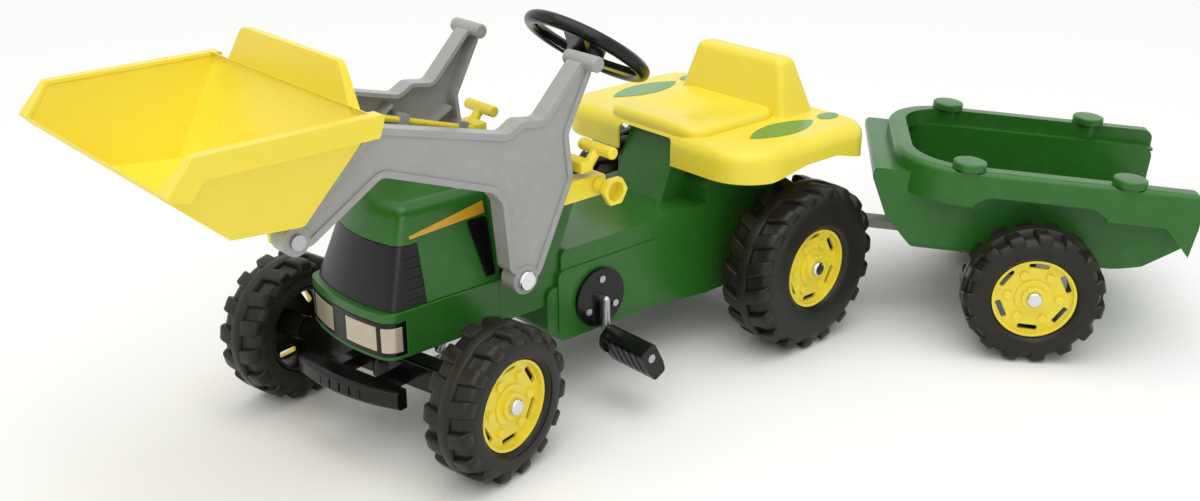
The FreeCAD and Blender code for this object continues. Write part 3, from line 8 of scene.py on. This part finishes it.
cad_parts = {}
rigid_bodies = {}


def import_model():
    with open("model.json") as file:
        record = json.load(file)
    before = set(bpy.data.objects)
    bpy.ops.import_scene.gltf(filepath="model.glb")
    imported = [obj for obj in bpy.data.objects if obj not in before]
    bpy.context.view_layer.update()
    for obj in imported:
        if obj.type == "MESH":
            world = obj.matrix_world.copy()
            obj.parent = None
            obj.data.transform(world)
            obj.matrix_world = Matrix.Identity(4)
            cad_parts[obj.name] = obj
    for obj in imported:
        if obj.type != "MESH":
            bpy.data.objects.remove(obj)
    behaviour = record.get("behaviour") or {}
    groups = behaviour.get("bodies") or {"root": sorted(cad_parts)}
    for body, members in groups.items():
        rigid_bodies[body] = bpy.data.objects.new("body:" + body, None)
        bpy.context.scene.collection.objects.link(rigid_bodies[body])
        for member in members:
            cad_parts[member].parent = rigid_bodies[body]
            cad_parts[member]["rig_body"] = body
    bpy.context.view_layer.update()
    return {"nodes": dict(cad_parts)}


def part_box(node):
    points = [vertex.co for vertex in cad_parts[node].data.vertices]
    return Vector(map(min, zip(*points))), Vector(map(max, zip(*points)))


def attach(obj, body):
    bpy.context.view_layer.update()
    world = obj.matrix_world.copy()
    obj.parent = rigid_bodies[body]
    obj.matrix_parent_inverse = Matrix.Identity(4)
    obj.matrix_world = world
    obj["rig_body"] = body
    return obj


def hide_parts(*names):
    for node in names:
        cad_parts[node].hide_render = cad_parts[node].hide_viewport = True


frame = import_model()
nodes = frame["nodes"]
scene = bpy.context.scene
print("frame loaded with", len(nodes), "nodes")

mm = 0.001
# sizes below are in millimetres from the point on the ground under the kingpin
kingpinLow, kingpinHigh = (Vector(corner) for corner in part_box("kingpin"))
kingpinFoot = (kingpinLow + kingpinHigh) / 2
kingpinFoot.z = 0


def fromKingpin(x, y, z):
    return kingpinFoot + Vector((x, y, z)) * mm


# materials

def linearColour(text):
    channels = [int(text[i:i + 2], 16) / 255 for i in (1, 3, 5)]
    return [c / 12.92 if c <= 0.04045 else ((c + 0.055) / 1.055) ** 2.4 for c in channels] + [1.0]


def addNode(tree, kind, values=None, links=None, **settings):
    node = tree.nodes.new(kind)
    for key, value in settings.items():
        setattr(node, key, value)
    for key, value in (values or {}).items():
        node.inputs[key].default_value = value
    for key, source in (links or {}).items():
        tree.links.new(source, node.inputs[key])
    return node


def startMaterial(name):
    material = bpy.data.materials.new(name)
    material.use_nodes = True
    tree = material.node_tree
    tree.nodes.clear()
    return material, tree


def mouldedPlastic(name, look):
    # moulded plastic: a soft spark-eroded grain breaks the gloss, slow flow marks shift the colour a little
    material, tree = startMaterial(name)
    place = addNode(tree, "ShaderNodeTexCoord").outputs["Object"]
    flow = addNode(tree, "ShaderNodeTexNoise",
                   {"Scale": 1 / (look["flowMm"] * mm), "Detail": 3.0, "Roughness": 0.5},
                   {"Vector": place})
    grain = addNode(tree, "ShaderNodeTexNoise",
                    {"Scale": 1 / (look["grainMm"] * mm), "Detail": 2.0, "Roughness": 0.6},
                    {"Vector": place})
    scuff = addNode(tree, "ShaderNodeTexNoise",
                    {"Scale": 1 / (look["scuffMm"] * mm), "Detail": 3.0, "Roughness": 0.55},
                    {"Vector": place})
    colour = addNode(tree, "ShaderNodeMix",
                     {6: linearColour(look["colour"]), 7: linearColour(look["flowColour"])},
                     {0: flow.outputs["Fac"]}, data_type="RGBA")
    worn = addNode(tree, "ShaderNodeMapRange",
                   {"From Min": 0.52, "From Max": 0.85, "To Min": 0.0, "To Max": look["scuffShare"]},
                   {"Value": scuff.outputs["Fac"]})
    surface = addNode(tree, "ShaderNodeMix", {7: linearColour(look["scuffColour"])},
                      {0: worn.outputs["Result"], 6: colour.outputs[2]}, data_type="RGBA")
    gloss = addNode(tree, "ShaderNodeMapRange",
                    {"From Min": 0.3, "From Max": 0.7, "To Min": look["roughness"] - 0.05,
                     "To Max": look["roughness"] + 0.05}, {"Value": flow.outputs["Fac"]})
    bump = addNode(tree, "ShaderNodeBump",
                   {"Strength": look["grainStrength"], "Distance": look["grainMm"] * mm * 0.2},
                   {"Height": grain.outputs["Fac"]})
    shader = addNode(tree, "ShaderNodeBsdfPrincipled",
                     {"IOR": look["ior"], "Specular IOR Level": look["shine"],
                      "Subsurface Weight": look["glow"], "Subsurface Scale": 1.0,
                      "Subsurface Radius": (6 * mm, 4 * mm, 2 * mm),
                      "Coat Weight": look["coat"], "Coat Roughness": 0.12},
                     {"Base Color": surface.outputs[2], "Roughness": gloss.outputs["Result"],
                      "Normal": bump.outputs["Normal"]})
    addNode(tree, "ShaderNodeOutputMaterial", links={"Surface": shader.outputs["BSDF"]})
    return material


plasticLooks = {
    # blow moulded polyethylene: deep green, waxy gloss, pale in patches where it has rubbed
    "greenPolyethylene": {
        "colour": "#2e6c25", "flowColour": "#286220", "scuffColour": "#4d8a42", "scuffShare": 0.22,
        "flowMm": 160, "scuffMm": 28, "grainMm": 0.9, "grainStrength": 0.1,
        "roughness": 0.3, "ior": 1.5, "shine": 0.36, "glow": 0.0, "coat": 0.04},
    # the same plastic in lemon yellow, which lets light in and glows at thin walls
    "yellowPolyethylene": {
        "colour": "#f3e144", "flowColour": "#efda3c", "scuffColour": "#f6ea72", "scuffShare": 0.2,
        "flowMm": 140, "scuffMm": 30, "grainMm": 0.9, "grainStrength": 0.08,
        "roughness": 0.32, "ior": 1.5, "shine": 0.45, "glow": 0.25, "coat": 0.08},
    # injection moulded polypropylene in silver grey, satin with a fine grain
    "silverGreyPolypropylene": {
        "colour": "#a3a4a2", "flowColour": "#999a98", "scuffColour": "#bdbebc", "scuffShare": 0.3,
        "flowMm": 60, "scuffMm": 18, "grainMm": 0.8, "grainStrength": 0.16,
        "roughness": 0.38, "ior": 1.49, "shine": 0.5, "glow": 0.0, "coat": 0.1},
    # glossy black polypropylene, nearly a mirror where it is flat
    "blackPolypropylene": {
        "colour": "#0c0c0b", "flowColour": "#121211", "scuffColour": "#2b2a27", "scuffShare": 0.35,
        "flowMm": 80, "scuffMm": 16, "grainMm": 0.8, "grainStrength": 0.08,
        "roughness": 0.22, "ior": 1.49, "shine": 0.3, "glow": 0.0, "coat": 0.04},
    # blow moulded black tyre, satin, with brown dust in its scuffs
    "tyrePolyethylene": {
        "colour": "#191812", "flowColour": "#201f18", "scuffColour": "#343026", "scuffShare": 0.5,
        "flowMm": 50, "scuffMm": 14, "grainMm": 1.2, "grainStrength": 0.2,
        "roughness": 0.38, "ior": 1.5, "shine": 0.28, "glow": 0.0, "coat": 0.02},
    # grey beige polypropylene of the drawbar, plain and satin
    "drawbarPolypropylene": {
        "colour": "#a8a59c", "flowColour": "#9d9a91", "scuffColour": "#c0bdb4", "scuffShare": 0.3,
        "flowMm": 60, "scuffMm": 18, "grainMm": 0.9, "grainStrength": 0.18,
        "roughness": 0.42, "ior": 1.49, "shine": 0.5, "glow": 0.0, "coat": 0.0},
    # printed vinyl film, flat and a little glossier than the plastic below
    "amberVinylFilm": {
        "colour": "#e0a92a", "flowColour": "#d9a125", "scuffColour": "#eec560", "scuffShare": 0.2,
        "flowMm": 40, "scuffMm": 12, "grainMm": 1.4, "grainStrength": 0.05,
        "roughness": 0.26, "ior": 1.5, "shine": 0.5, "glow": 0.0, "coat": 0.1},
    "leafVinylFilm": {
        "colour": "#5f9a4b", "flowColour": "#568f45", "scuffColour": "#86b872", "scuffShare": 0.25,
        "flowMm": 40, "scuffMm": 12, "grainMm": 1.4, "grainStrength": 0.05,
        "roughness": 0.26, "ior": 1.5, "shine": 0.5, "glow": 0.0, "coat": 0.1},
}
plastics = {name: mouldedPlastic(name, look) for name, look in plasticLooks.items()}


def platedMetal(name, look):
    # plated steel: a bright skin with fine rubbing marks that stretch along one way
    material, tree = startMaterial(name)
    place = addNode(tree, "ShaderNodeTexCoord").outputs["Object"]
    stretched = addNode(tree, "ShaderNodeMapping", {"Scale": look["stretch"]}, {"Vector": place})
    rubbed = addNode(tree, "ShaderNodeTexNoise",
                     {"Scale": 1 / (look["rubMm"] * mm), "Detail": 4.0, "Roughness": 0.7},
                     {"Vector": stretched.outputs["Vector"]})
    tint = addNode(tree, "ShaderNodeMix",
                   {6: linearColour(look["colour"]), 7: linearColour(look["dullColour"])},
                   {0: rubbed.outputs["Fac"]}, data_type="RGBA")
    gloss = addNode(tree, "ShaderNodeMapRange",
                    {"From Min": 0.3, "From Max": 0.7, "To Min": look["roughness"],
                     "To Max": look["roughness"] + 0.14}, {"Value": rubbed.outputs["Fac"]})
    bump = addNode(tree, "ShaderNodeBump", {"Strength": 0.08, "Distance": 0.1 * mm},
                   {"Height": rubbed.outputs["Fac"]})
    shader = addNode(tree, "ShaderNodeBsdfPrincipled", {"Metallic": 1.0},
                     {"Base Color": tint.outputs[2], "Roughness": gloss.outputs["Result"],
                      "Normal": bump.outputs["Normal"]})
    addNode(tree, "ShaderNodeOutputMaterial", links={"Surface": shader.outputs["BSDF"]})
    return material


# zinc plated rod: cool grey, streaked along its length
zincLook = {"colour": "#c4c6c8", "dullColour": "#9b9da0", "roughness": 0.24, "rubMm": 3.0,
            "stretch": (1.0, 0.15, 1.0)}
zincSteel = platedMetal("zincPlatedSteel", zincLook)
# chrome plated cap: near mirror with a few soft spots
chromeLook = {"colour": "#e6e7e9", "dullColour": "#cfd1d4", "roughness": 0.06, "rubMm": 5.0,
              "stretch": (1.0, 1.0, 1.0)}
chromeCap = platedMetal("chromePlatedCap", chromeLook)


def lampLens(name, look):
    # styrene lens over a bright cup: beige grey with upright flutes that catch the light
    material, tree = startMaterial(name)
    place = addNode(tree, "ShaderNodeTexCoord").outputs["Object"]
    # at scale 1 a wave texture runs through 20 radians a metre
    flutes = addNode(tree, "ShaderNodeTexWave",
                     {"Scale": math.tau / (look["fluteMm"] * mm) / 20, "Distortion": 0.2},
                     {"Vector": place}, wave_type="BANDS", bands_direction="Y")
    haze = addNode(tree, "ShaderNodeTexNoise", {"Scale": 1 / (look["hazeMm"] * mm), "Detail": 2.0},
                   {"Vector": place})
    colour = addNode(tree, "ShaderNodeMix",
                     {6: linearColour(look["colour"]), 7: linearColour(look["hazeColour"])},
                     {0: haze.outputs["Fac"]}, data_type="RGBA")
    bump = addNode(tree, "ShaderNodeBump", {"Strength": 0.35, "Distance": 0.6 * mm},
                   {"Height": flutes.outputs["Fac"]})
    shader = addNode(tree, "ShaderNodeBsdfPrincipled",
                     {"Metallic": 0.25, "Roughness": 0.2, "Coat Weight": 0.6, "Coat Roughness": 0.05},
                     {"Base Color": colour.outputs[2], "Normal": bump.outputs["Normal"]})
    addNode(tree, "ShaderNodeOutputMaterial", links={"Surface": shader.outputs["BSDF"]})
    return material


lensLook = {"fluteMm": 25.13, "hazeMm": 18, "colour": "#cdbfa6", "hazeColour": "#b3aa9b"}
styreneLens = lampLens("flutedStyreneLens", lensLook)
print("materials ready", len(bpy.data.materials))


# pieces

def newPiece(name, mesh, node, material):
    piece = bpy.data.objects.new(name, mesh)
    scene.collection.objects.link(piece)
    mesh.materials.clear()
    mesh.materials.append(material)
    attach(piece, nodes[node]["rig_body"])
    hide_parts(node)
    return piece


def shadeByAngle(bm, limit):
    for face in bm.faces:
        face.smooth = True
    for edge in bm.edges:
        if len(edge.link_faces) == 2:
            edge.smooth = edge.calc_face_angle(0.0) < limit


weldMm = 0.01  # points nearer than this are one
hardEdge = math.radians(38)  # edges sharper than this are rounded
flatEdge = math.radians(0.4)  # edges flatter than this are joined


def softCopy(node, look):
    # the CAD piece, doubles merged, flats joined and every hard edge rounded as a mould leaves it
    mesh = nodes[node].data.copy()
    bm = bmesh.new()
    bm.from_mesh(mesh)
    bmesh.ops.remove_doubles(bm, verts=bm.verts, dist=weldMm * mm)
    bmesh.ops.dissolve_limit(bm, angle_limit=flatEdge, verts=bm.verts, edges=bm.edges)
    shadeByAngle(bm, hardEdge)
    bm.to_mesh(mesh)
    bm.free()
    piece = newPiece(node + "Soft", mesh, node, look["material"])
    edgeRound = piece.modifiers.new("mouldRadius", "BEVEL")
    edgeRound.width = look["roundMm"] * mm
    edgeRound.segments = look.get("segments", 2)
    edgeRound.limit_method = "ANGLE"
    edgeRound.angle_limit = hardEdge
    edgeRound.harden_normals = True
    return piece


green = plastics["greenPolyethylene"]
yellow = plastics["yellowPolyethylene"]
grey = plastics["silverGreyPolypropylene"]
black = plastics["blackPolypropylene"]
softLooks = {
    "chassis_body": {"roundMm": 2.5, "material": green, "segments": 3},
    "hood": {"roundMm": 1.0, "material": green},
    "nose_cowl": {"roundMm": 1.2, "material": green},
    "grille": {"roundMm": 0.7, "material": black},
    "lamp_panel": {"roundMm": 0.9, "material": black},
    "lamps": {"roundMm": 1.0, "material": styreneLens},
    "front_bumper": {"roundMm": 1.5, "material": black},
    "seat": {"roundMm": 1.3, "material": yellow},
    "steering_wheel": {"roundMm": 2.5, "material": black, "segments": 3},
    "crank_flanges": {"roundMm": 1.2, "material": black},
    "pedal_left": {"roundMm": 1.2, "material": black},
    "pedal_right": {"roundMm": 1.2, "material": black},
    "loader_arm_left": {"roundMm": 1.6, "material": grey},
    "loader_arm_right": {"roundMm": 1.6, "material": grey},
    "lever_brackets": {"roundMm": 2.0, "material": yellow},
    "pull_rod_left": {"roundMm": 1.5, "material": yellow},
    "pull_rod_right": {"roundMm": 1.5, "material": yellow},
    "hand_knob_left": {"roundMm": 1.2, "material": yellow},
    "hand_knob_right": {"roundMm": 1.2, "material": yellow},
    "bucket": {"roundMm": 1.6, "material": yellow},
    "trailer_tub": {"roundMm": 1.5, "material": green},
    "stake_plugs": {"roundMm": 1.2, "material": green},
    "drawbar": {"roundMm": 1.5, "material": plastics["drawbarPolypropylene"]},
    "tow_hitch": {"roundMm": 1.5, "material": black},
    "axle_brackets": {"roundMm": 1.2, "material": black},
    "front_axle_beam": {"roundMm": 1.5, "material": black},
}
for node, look in softLooks.items():
    softCopy(node, look)
print("moulded pieces rounded", len(softLooks))

# pieces whose CAD shape is right as it is
plainLooks = {
    "hood_stripes": plastics["amberVinylFilm"], "fender_inlays": plastics["leafVinylFilm"],
    "column_boot": black, "rear_axle_bushes": black, "pivot_spacers": black,
    "kingpin": zincSteel, "flange_screws": zincSteel, "drive_chain": zincSteel,
    "loader_pivot_rod": zincSteel, "tow_pin": zincSteel, "steering_column": zincSteel,
    "front_axle_rods": zincSteel, "rear_axle": zincSteel, "rear_sprocket": zincSteel,
    "crankshaft": zincSteel, "crank_sprocket": zincSteel, "bucket_bolts": zincSteel,
    "trailer_axle": zincSteel,
    "pivot_caps": chromeCap, "front_axle_caps": chromeCap,
    "rear_axle_caps": chromeCap, "trailer_axle_caps": chromeCap,
}
for node, material in plainLooks.items():
    mesh = nodes[node].data
    mesh.materials.clear()
    mesh.materials.append(material)
print("carried over", len(plainLooks))


def hoodDarkSheet(side, look):
    # a black sheet of film on the rear of the hood's side, with a raised edge and a few lines across it
    def onHood(x, z):
        lean = (z - look["hoodLowZ"]) / (look["hoodHighZ"] - look["hoodLowZ"])
        y = look["hoodLowHalf"] + (look["hoodHighHalf"] - look["hoodLowHalf"]) * lean + look["liftMm"]
        return fromKingpin(x, side * y, z)

    bm = bmesh.new()
    outline = [(look["lowFrontX"], look["lowZ"]), (look["rearX"], look["lowZ"]),
               (look["rearX"], look["highZ"]), (look["highFrontX"], look["highZ"])]
    film = bm.faces.new([bm.verts.new(onHood(x, z)) for x, z in outline])
    bmesh.ops.bevel(bm, geom=film.verts[:], offset=look["cornerMm"] * mm, segments=4, profile=0.5,
                    affect="VERTICES", material=-1)
    for i in range(look["sheetLines"]):
        level = look["lowZ"] + (look["highZ"] - look["lowZ"]) * (i + 1) / (look["sheetLines"] + 1)
        bmesh.ops.bisect_plane(bm, geom=bm.verts[:] + bm.edges[:] + bm.faces[:],
                               plane_co=onHood(look["rearX"], level), plane_no=(0, 0, 1))
    edge = look["edgeMm"] * mm
    bmesh.ops.inset_individual(bm, faces=bm.faces[:], thickness=edge, depth=edge / 2)
    bmesh.ops.recalc_face_normals(bm, faces=bm.faces)
    mesh = bpy.data.meshes.new("hoodDarkSheet")
    bm.to_mesh(mesh)
    bm.free()
    piece = bpy.data.objects.new("hoodDarkSheetLeft" if side > 0 else "hoodDarkSheetRight", mesh)
    scene.collection.objects.link(piece)
    mesh.materials.append(black)
    thick = piece.modifiers.new("filmThickness", "SOLIDIFY")
    thick.thickness = look["liftMm"] * mm
    thick.offset = 0
    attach(piece, nodes["hood"]["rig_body"])


darkSheetLook = {"rearX": -112, "lowFrontX": -97, "highFrontX": -80, "lowZ": 216, "highZ": 292,
            "cornerMm": 5, "edgeMm": 1.2, "liftMm": 0.6, "sheetLines": 6,
            "hoodLowZ": 209, "hoodHighZ": 328, "hoodLowHalf": 88, "hoodHighHalf": 63}
# a black sheet on each side of the hood, making the rear of its side dark
for side in (1, -1):
    hoodDarkSheet(side, darkSheetLook)
print("hood vents placed")


# wheels

def lugTyre(look):
    # a blow moulded tyre: round carcass, deep beads, and swept lugs that run over the shoulder
    half = look["widthMm"] / 2
    outer = look["radiusMm"]
    floor = outer - look["lugMm"]
    bead = look["boreMm"]
    bm = bmesh.new()
    # from the bead over the side wall and the shoulder to the rib in the middle, as radius and distance out
    side = [(bead, half - 18), (bead, half - 9), (bead + 1.5, half - 5), (bead + 5, half - 2.4),
            (bead + 9, half - 1), (outer - 34, half - 0.3), (outer - 26, half), (outer - 20, half - 0.6),
            (floor - 7, half - 2.2), (floor - 3.5, half - 4.6), (floor - 1.2, half - 8), (floor, half - 13),
            (floor, 12), (floor + 1.2, 9.6), (outer - 1.6, 8.4), (outer - 0.4, 6.5)]
    outline = side + [(r, -y) for r, y in reversed(side)]
    ringVerts = [bm.verts.new((r * mm, y * mm, 0)) for r, y in outline]
    ringEdges = [bm.edges.new((a, b)) for a, b in zip(ringVerts, ringVerts[1:] + ringVerts[:1])]
    bmesh.ops.spin(bm, geom=ringVerts + ringEdges, cent=(0, 0, 0), axis=(0, 1, 0), steps=look["lugs"] * 8,
                   angle=math.tau, use_merge=True)
    bmesh.ops.remove_doubles(bm, verts=bm.verts, dist=weldMm * mm)
    for way in (1, -1):
        mesh = lugRing(look, half, way)
        bm.from_mesh(mesh)
        bpy.data.meshes.remove(mesh)
    bmesh.ops.recalc_face_normals(bm, faces=bm.faces)
    shadeByAngle(bm, look["shadeEdge"])
    return bm


def lugRing(look, half, way):
    # one bar bent over the tread, rounded, then repeated round the axle
    pitch = math.tau / look["lugs"]
    bm = bmesh.new()
    bmesh.ops.create_cube(bm, size=1.0)
    spans = [e for e in bm.edges if abs(e.verts[0].co.y - e.verts[1].co.y) > 0.5]
    bmesh.ops.subdivide_edges(bm, edges=spans, cuts=11, use_grid_fill=True)
    for v in bm.verts:
        bendLug(v, look, half, way, pitch)
    bmesh.ops.recalc_face_normals(bm, faces=bm.faces)
    sharp = [e for e in bm.edges if e.calc_face_angle(0.0) > look["lugEdge"]]
    bmesh.ops.bevel(bm, geom=sharp, offset=look["lugRoundMm"] * mm, segments=3, profile=0.5, affect="EDGES",
                    material=-1)
    stagger = Matrix.Rotation((1 - way) * pitch / 4, 3, "Y")  # the two sides are half a lug apart
    bmesh.ops.rotate(bm, verts=bm.verts, cent=(0, 0, 0), matrix=stagger)
    first = bm.verts[:] + bm.edges[:] + bm.faces[:]
    bmesh.ops.spin(bm, geom=first, cent=(0, 0, 0), axis=(0, 1, 0), steps=look["lugs"] - 1,
                   angle=math.tau - pitch, use_duplicate=True)
    mesh = bpy.data.meshes.new("lugRing")
    bm.to_mesh(mesh)
    bm.free()
    return mesh


def bendLug(v, look, half, way, pitch):
    # moves a point of the straight bar onto the tread, over the shoulder and down the side
    along = v.co.y + 0.5
    spread = v.co.x
    top = v.co.z > 0
    outer = look["radiusMm"]
    # share along the bar, distance out from the middle, drop below the tread
    path = [(0.0, 6.0, 0.6), (0.25, half * 0.38, 0.1), (0.5, half * 0.62, 0.3), (0.67, half * 0.78, 1.0),
            (0.75, half * 0.87, 2.2), (0.83, half - 2.2, 5.0), (0.92, half - 0.6, 10.0),
            (1.0, half - 0.2, 16.0)]
    low = max(i for i in range(len(path) - 1) if path[i][0] <= along + 1e-6)
    share = (along - path[low][0]) / (path[low + 1][0] - path[low][0])
    y = path[low][1] + (path[low + 1][1] - path[low][1]) * share
    drop = path[low][2] + (path[low + 1][2] - path[low][2]) * share
    if not top:  # the root stays inside the carcass
        y = min(y, half - 6)
        drop = drop + look["lugMm"] + 2
    radius = (outer - drop) * mm
    width = pitch * look["lugShare"] * (0.84 if top else 1.10)
    angle = pitch * look["sweepShare"] * along + spread * width
    v.co = Vector((radius * math.sin(angle), way * y * mm, radius * math.cos(angle)))


frontTyre = {"radiusMm": 100, "widthMm": 71, "boreMm": 59.6, "lugMm": 8, "lugs": 15, "lugRoundMm": 2.2,
             "lugShare": 0.56, "sweepShare": -0.16,
             "lugEdge": math.radians(40), "shadeEdge": math.radians(45)}
rearTyre = {"radiusMm": 125, "widthMm": 84, "boreMm": 59.6, "lugMm": 9, "lugs": 18, "lugRoundMm": 2.4,
            "lugShare": 0.56, "sweepShare": -0.38,
            "lugEdge": math.radians(40), "shadeEdge": math.radians(45)}
# axles from the kingpin, the trailer's from the tow pin, and the turns that the photograph shows
axleLook = {"steerDeg": 12, "rearX": -600, "towPinX": -681, "trailerDeg": -49.34, "trailerX": -417,
            "trackHalfMm": 219,
            "discBackMm": 20.5}  # from the tyre's outer side to the back of the yellow disc
steerTurn = Matrix.Rotation(math.radians(axleLook["steerDeg"]), 4, "Z")
trailerTurn = Matrix.Rotation(math.radians(axleLook["trailerDeg"]), 4, "Z")
trailerReach = Matrix.Translation((axleLook["trailerX"] * mm, 0, 0))
frontAt = Matrix.Translation(fromKingpin(0, 0, frontTyre["radiusMm"])) @ steerTurn
rearAt = Matrix.Translation(fromKingpin(axleLook["rearX"], 0, rearTyre["radiusMm"]))
towPinAt = Matrix.Translation(fromKingpin(axleLook["towPinX"], 0, frontTyre["radiusMm"]))
trailerAt = towPinAt @ trailerTurn @ trailerReach
wheelPlaces = {"front_left": (frontTyre, frontAt, 1), "front_right": (frontTyre, frontAt, -1),
               "rear_left": (rearTyre, rearAt, 1), "rear_right": (rearTyre, rearAt, -1),
               "trailer_left": (frontTyre, trailerAt, 1), "trailer_right": (frontTyre, trailerAt, -1)}


def darkInside(piece, place, side, limit):
    # behind its yellow disc a wheel is the black moulding of the tyre
    piece.data.materials.append(plastics["tyrePolyethylene"])
    toWheel = place.inverted()
    for polygon in piece.data.polygons:
        if (toWheel @ polygon.center).y * side < limit:
            polygon.material_index = 1


for wheel, (look, place, side) in wheelPlaces.items():
    bm = lugTyre(look)
    shift = Matrix.Translation((0, side * (axleLook["trackHalfMm"] - look["widthMm"] / 2) * mm, 0))
    bmesh.ops.transform(bm, matrix=place @ shift, verts=bm.verts)
    mesh = bpy.data.meshes.new(wheel + "Tyre")
    bm.to_mesh(mesh)
    bm.free()
    newPiece(wheel + "Tyre", mesh, wheel + "_tyre", plastics["tyrePolyethylene"])
    hub = softCopy(wheel + "_hub", {"roundMm": 0.8, "material": yellow})
    darkInside(hub, place @ shift, side, (look["widthMm"] / 2 - axleLook["discBackMm"]) * mm)
print("wheels built", len(wheelPlaces))


# studio

def studioFloor(look):
    # a pale floor that keeps the shadow, wide enough to fill the view
    bm = bmesh.new()
    bmesh.ops.create_grid(bm, x_segments=4, y_segments=4, size=look["halfM"])
    mesh = bpy.data.meshes.new("studioFloor")
    bm.to_mesh(mesh)
    bm.free()
    floor = bpy.data.objects.new("studioFloor", mesh)
    scene.collection.objects.link(floor)
    material, tree = startMaterial("paintedStudioFloor")
    shader = addNode(tree, "ShaderNodeBsdfDiffuse", {"Color": linearColour(look["colour"])})
    addNode(tree, "ShaderNodeOutputMaterial", links={"Surface": shader.outputs["BSDF"]})
    mesh.materials.append(material)


studioFloor({"halfM": 30, "colour": "#fbfbfa"})


def softLamp(name, look):
    lamp = bpy.data.lights.new(name, "AREA")
    lamp.shape = "RECTANGLE"
    lamp.size, lamp.size_y = look["size"]
    lamp.energy = look["watts"]
    lamp.color = linearColour(look["colour"])[:3]
    holder = bpy.data.objects.new(name, lamp)
    scene.collection.objects.link(holder)
    holder.location = look["at"]
    aim = Vector(look["towards"]) - Vector(look["at"])
    holder.rotation_euler = aim.to_track_quat("-Z", "Y").to_euler()


lampLooks = {
    "overheadBox": {"at": (0.3, 0.2, 3.2), "towards": (0.0, 0.0, 0.2), "size": (3.4, 2.6), "watts": 12,
                    "colour": "#ffffff"},
    "cameraSideBox": {"at": (2.2, 2.4, 1.9), "towards": (0.1, 0.0, 0.25), "size": (1.6, 1.6), "watts": 15,
                      "colour": "#fffaf2"},
}
for name, look in lampLooks.items():
    softLamp(name, look)

# a very wide sun stands for the white ceiling and lights the floor evenly out to the corners
ceilingLook = {"widthDeg": 80, "strength": 1.75, "towards": (-0.22, -0.18, -1.0)}
ceiling = bpy.data.lights.new("whiteCeiling", "SUN")
ceiling.angle = math.radians(ceilingLook["widthDeg"])
ceiling.energy = ceilingLook["strength"]
ceilingHolder = bpy.data.objects.new("whiteCeiling", ceiling)
scene.collection.objects.link(ceilingHolder)
ceilingHolder.rotation_euler = Vector(ceilingLook["towards"]).to_track_quat("-Z", "Y").to_euler()

# white where it is seen directly or mirrored, dimmer as light on the object
worldLook = {"asLight": 0.42, "asSeen": 1.0}
world = bpy.data.worlds.new("studioWhite")
scene.world = world
world.use_nodes = True
tree = world.node_tree
tree.nodes.clear()
path = addNode(tree, "ShaderNodeLightPath")
direct = addNode(tree, "ShaderNodeMath", operation="MAXIMUM",
                 links={0: path.outputs["Is Camera Ray"], 1: path.outputs["Is Transmission Ray"]})
seen = addNode(tree, "ShaderNodeMath", operation="MAXIMUM",
               links={0: direct.outputs[0], 1: path.outputs["Is Glossy Ray"]})
strength = addNode(tree, "ShaderNodeMapRange",
                   {"To Min": worldLook["asLight"], "To Max": worldLook["asSeen"]},
                   {"Value": seen.outputs[0]})
sky = addNode(tree, "ShaderNodeBackground", {"Color": (1, 1, 1, 1)},
              {"Strength": strength.outputs["Result"]})
addNode(tree, "ShaderNodeOutputWorld", links={"Surface": sky.outputs["Background"]})

# the photograph's view, solved from the wheels and the symmetric pairs
cameraLook = {"at": (842.9, 1357.8, 902.3), "forward": (-0.6152, -0.6900, -0.3814),
              "lens": 40.72, "sensor": 36.0}
camera = bpy.data.cameras.new("photoCamera")
camera.lens = cameraLook["lens"]
camera.sensor_width = cameraLook["sensor"]
camera.sensor_fit = "HORIZONTAL"
cameraHolder = bpy.data.objects.new("photoCamera", camera)
scene.collection.objects.link(cameraHolder)
cameraHolder.location = fromKingpin(*cameraLook["at"])
cameraHolder.rotation_euler = Vector(cameraLook["forward"]).to_track_quat("-Z", "Y").to_euler()
scene.camera = cameraHolder
scene.view_settings.view_transform = "Standard"
print("studio ready")
